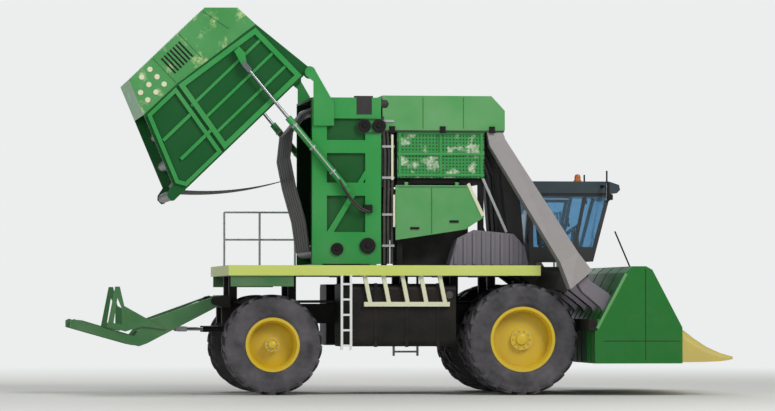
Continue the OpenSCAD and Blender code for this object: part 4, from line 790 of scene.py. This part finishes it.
CYLINDERS = 6
block = [slab(at(-1.86, -0.2, 3.215), at(-0.84, 0.2, 3.36), 0.05)]
block += [slab(at(x - 0.06, -0.26, 3.3), at(x + 0.06, 0.26, 3.4), 0.02)
          for x in np.linspace(-1.74, -0.96, CYLINDERS)]
piece("cylinder head", *joined(block), engine_iron, "chassis")
outlet = at([-1.7, -0.98, -0.86, -0.8], [0.34, 0.34, 0.36, 0.4], [3.3, 3.3, 3.36, 3.55])
manifold = [carried(circle(0.05, 16), outlet)]
manifold += [straight(circle(0.035, 12), at(x, 0.24, 3.3), at(x, 0.33, 3.3))
             for x in np.linspace(-1.66, -1.02, CYLINDERS)]
piece("exhaust manifold", *joined(manifold), roller_steel, "chassis")


# ---- Picking units: pale strips on rear edges as painted highlights, seams, spindle bars ----

UNIT_FACE = 2.8545
UNIT_SEAMS = ([(2.05, 0.62), (2.05, 2.2)], [(1.3, 0.95), (2.66, 0.95)])
ROWS = (0.485, 1.455, 2.425)
# Drums of a unit, as distance ahead and distance across from the row's middle
DRUMS = ((2.25, -0.21), (1.62, 0.21))
BAR_CIRCLE, BAR_COUNT, BAR_RADIUS, BAR_FOOT, BAR_HEAD = 0.128, 12, 0.014, 0.66, 1.63
for side, sign in SIDES.items():
    y = sign * UNIT_FACE
    # A pale strip along each unit's rear edge, as a painted highlight
    piece(f"unit edge {side}", *strip([(1.2, 1.17), (1.71, 2.12)], 0.05, 0.006, y), pale_paint, "header")
    seams = [strip(line, SEAM, 0.004, y) for line in UNIT_SEAMS]
    piece(f"unit seams {side}", *joined(seams), chassis_black_and_painted_shade, "header")
    feet = [at(x + u, sign * row + dy + v, BAR_FOOT)
            for row in ROWS for x, dy in DRUMS for u, v in circle(BAR_CIRCLE, BAR_COUNT)]
    bars = [straight(circle(BAR_RADIUS, 8), foot, (foot[0], foot[1], BAR_HEAD), AHEAD) for foot in feet]
    piece(f"spindle bars {side}", *joined(bars), drum_steel, "header")

pole = straight(circle(0.014, 8), at(1.66, -2.0, 2.87), at(1.93, -2.0, 2.24))
piece("row guide pole", *pole, chassis_black_and_painted_shade, "header")


# ---- Under the deck: rail hoses, tank straps and caps, tail lamps ----

for side, sign in SIDES.items():
    lines = []
    for i in range(5):
        y = sign * (0.5 + 0.05 * i)
        route = bowed(at(-4.95, y, 1.63), at(-0.5, y, 1.64), -0.01 * (i % 2), 24)
        lines.append(carried(circle(0.02, 8), route))
    piece(f"rail hoses {side}", *joined(lines), belt_rubber, "chassis")

TANK_FACE = 1.794
TANK_CAP = [(0, 0), (0.07, 0), (0.075, 0.02), (0.06, 0.04), (0, 0.045)]
for side, sign in SIDES.items():
    y = sign * TANK_FACE
    straps = [strip([(x, 0.84), (x, 1.96)], 0.06, 0.012, y) for x in (-2.55, -2.0, -1.45)]
    piece(f"tank straps {side}", *joined(straps), chassis_black_and_painted_shade, "chassis")
    cap = turned(TANK_CAP, at(-1.25, y - sign * 0.006, 1.75), (0, sign, 0), 24)
    piece(f"tank cap {side}", *cap, trim_plastic, "chassis")
    lamps = [slab(at(-5.14, sign * middle - 0.07, 2.11), at(-5.125, sign * middle + 0.07, 2.2), 0.01)
             for middle in (1.75, 1.55)]
    piece(f"tail lamps {side}", *joined(lamps), tail_red, "chassis")


# ---- Floor, light and camera ----

FLOOR_REACH = 200
# Distances from the machine between which the floor turns into the backdrop, so that it has no edge
FLOOR_ENDS, BACKDROP_STARTS = 9.0, 34.0
BACKDROP, AMBIENT, AMBIENT_LEVEL = "#ECEEEE", "#E4EAF0", 0.45
floor_mesh = bpy.data.meshes.new("floor")
corners = [(-FLOOR_REACH, -FLOOR_REACH, 0), (FLOOR_REACH, -FLOOR_REACH, 0), (FLOOR_REACH, FLOOR_REACH, 0),
           (-FLOOR_REACH, FLOOR_REACH, 0)]
floor_mesh.from_pydata(corners, [], [(0, 1, 2, 3)])
floor = bpy.data.objects.new("floor", floor_mesh)
bpy.context.collection.objects.link(floor)
# Studio floor: matt painted board, pale and without a hot spot
floor_paint, floor_tree, floor_surface = new_material("pale studio floor", {
    "Base Color": linear("#D8D6D0"), "Roughness": 0.9})
floor_mesh.materials.append(floor_paint)
floor_place = add(floor_tree, "TexCoord").outputs["Object"]
floor_range = add(floor_tree, "VectorMath", {"operation": "LENGTH"}, {0: floor_place})
backdrop = add(floor_tree, "Emission", sockets={"Color": linear(BACKDROP), "Strength": 1.0})
floor_blend = add(floor_tree, "MapRange", {"interpolation_type": "SMOOTHSTEP"}, {
    "Value": floor_range, "From Min": FLOOR_ENDS, "From Max": BACKDROP_STARTS})
floor_mix = add(floor_tree, "MixShader", sockets={0: floor_blend, 1: floor_surface, 2: backdrop})
fill(floor_tree.nodes["Material Output"], {"Surface": floor_mix})

world = bpy.data.worlds.new("studio")
bpy.context.scene.world = world
world.use_nodes = True
studio = world.node_tree
studio.nodes.clear()
ray = add(studio, "LightPath").outputs
seen = add(studio, "Math", {"operation": "MAXIMUM"}, {
    0: ray["Is Camera Ray"], 1: ray["Is Transmission Ray"]})
pale = add(studio, "Background", sockets={"Color": linear(BACKDROP), "Strength": 1.0})
ambient = add(studio, "Background", sockets={"Color": linear(AMBIENT), "Strength": AMBIENT_LEVEL})
both = add(studio, "MixShader", sockets={0: seen, 1: ambient, 2: pale})
add(studio, "OutputWorld", sockets={"Surface": both})


def soft_light(name, place, target, size, power):
    """Square area light of a size in metres and a power in watts, turned to its target."""
    lamp = bpy.data.lights.new(name, "AREA")
    lamp.size, lamp.energy = size, power
    holder = bpy.data.objects.new(name, lamp)
    holder.location = place
    holder.rotation_euler = (Vector(target) - Vector(place)).to_track_quat("-Z", "Y").to_euler()
    bpy.context.collection.objects.link(holder)


soft_light("key", (14, -26, 24), (0, 0, 2.5), 14, 6800)
soft_light("fill", (-22, -24, 12), (0, 0, 2.5), 16, 2100)
soft_light("back", (-6, 26, 22), (0, 0, 3), 14, 3400)

# The camera stands as in the photograph: far off, a little behind square to the right side, at eye level
VIEW_AZIMUTH = math.radians(-7)
VIEW_DISTANCE = 76
EYE_HEIGHT = 1.6
# Stretch of the machine's length that the picture is wide, and the point it is centred on
VIEW_WIDTH = 13.9
VIEW_MIDDLE = Vector((0, 0, 3.36))
FARTHEST_SEEN = 1000
camera_data = bpy.data.cameras.new("camera")
camera = bpy.data.objects.new("camera", camera_data)
bpy.context.collection.objects.link(camera)
camera.location = (
    VIEW_DISTANCE * math.sin(VIEW_AZIMUTH), -VIEW_DISTANCE * math.cos(VIEW_AZIMUTH), EYE_HEIGHT)
camera.rotation_euler = (VIEW_MIDDLE - camera.location).to_track_quat("-Z", "Y").to_euler()
camera_data.lens = camera_data.sensor_width * VIEW_DISTANCE / VIEW_WIDTH
camera_data.clip_end = FARTHEST_SEEN
bpy.context.scene.camera = camera
bpy.context.scene.view_settings.view_transform = "Standard"
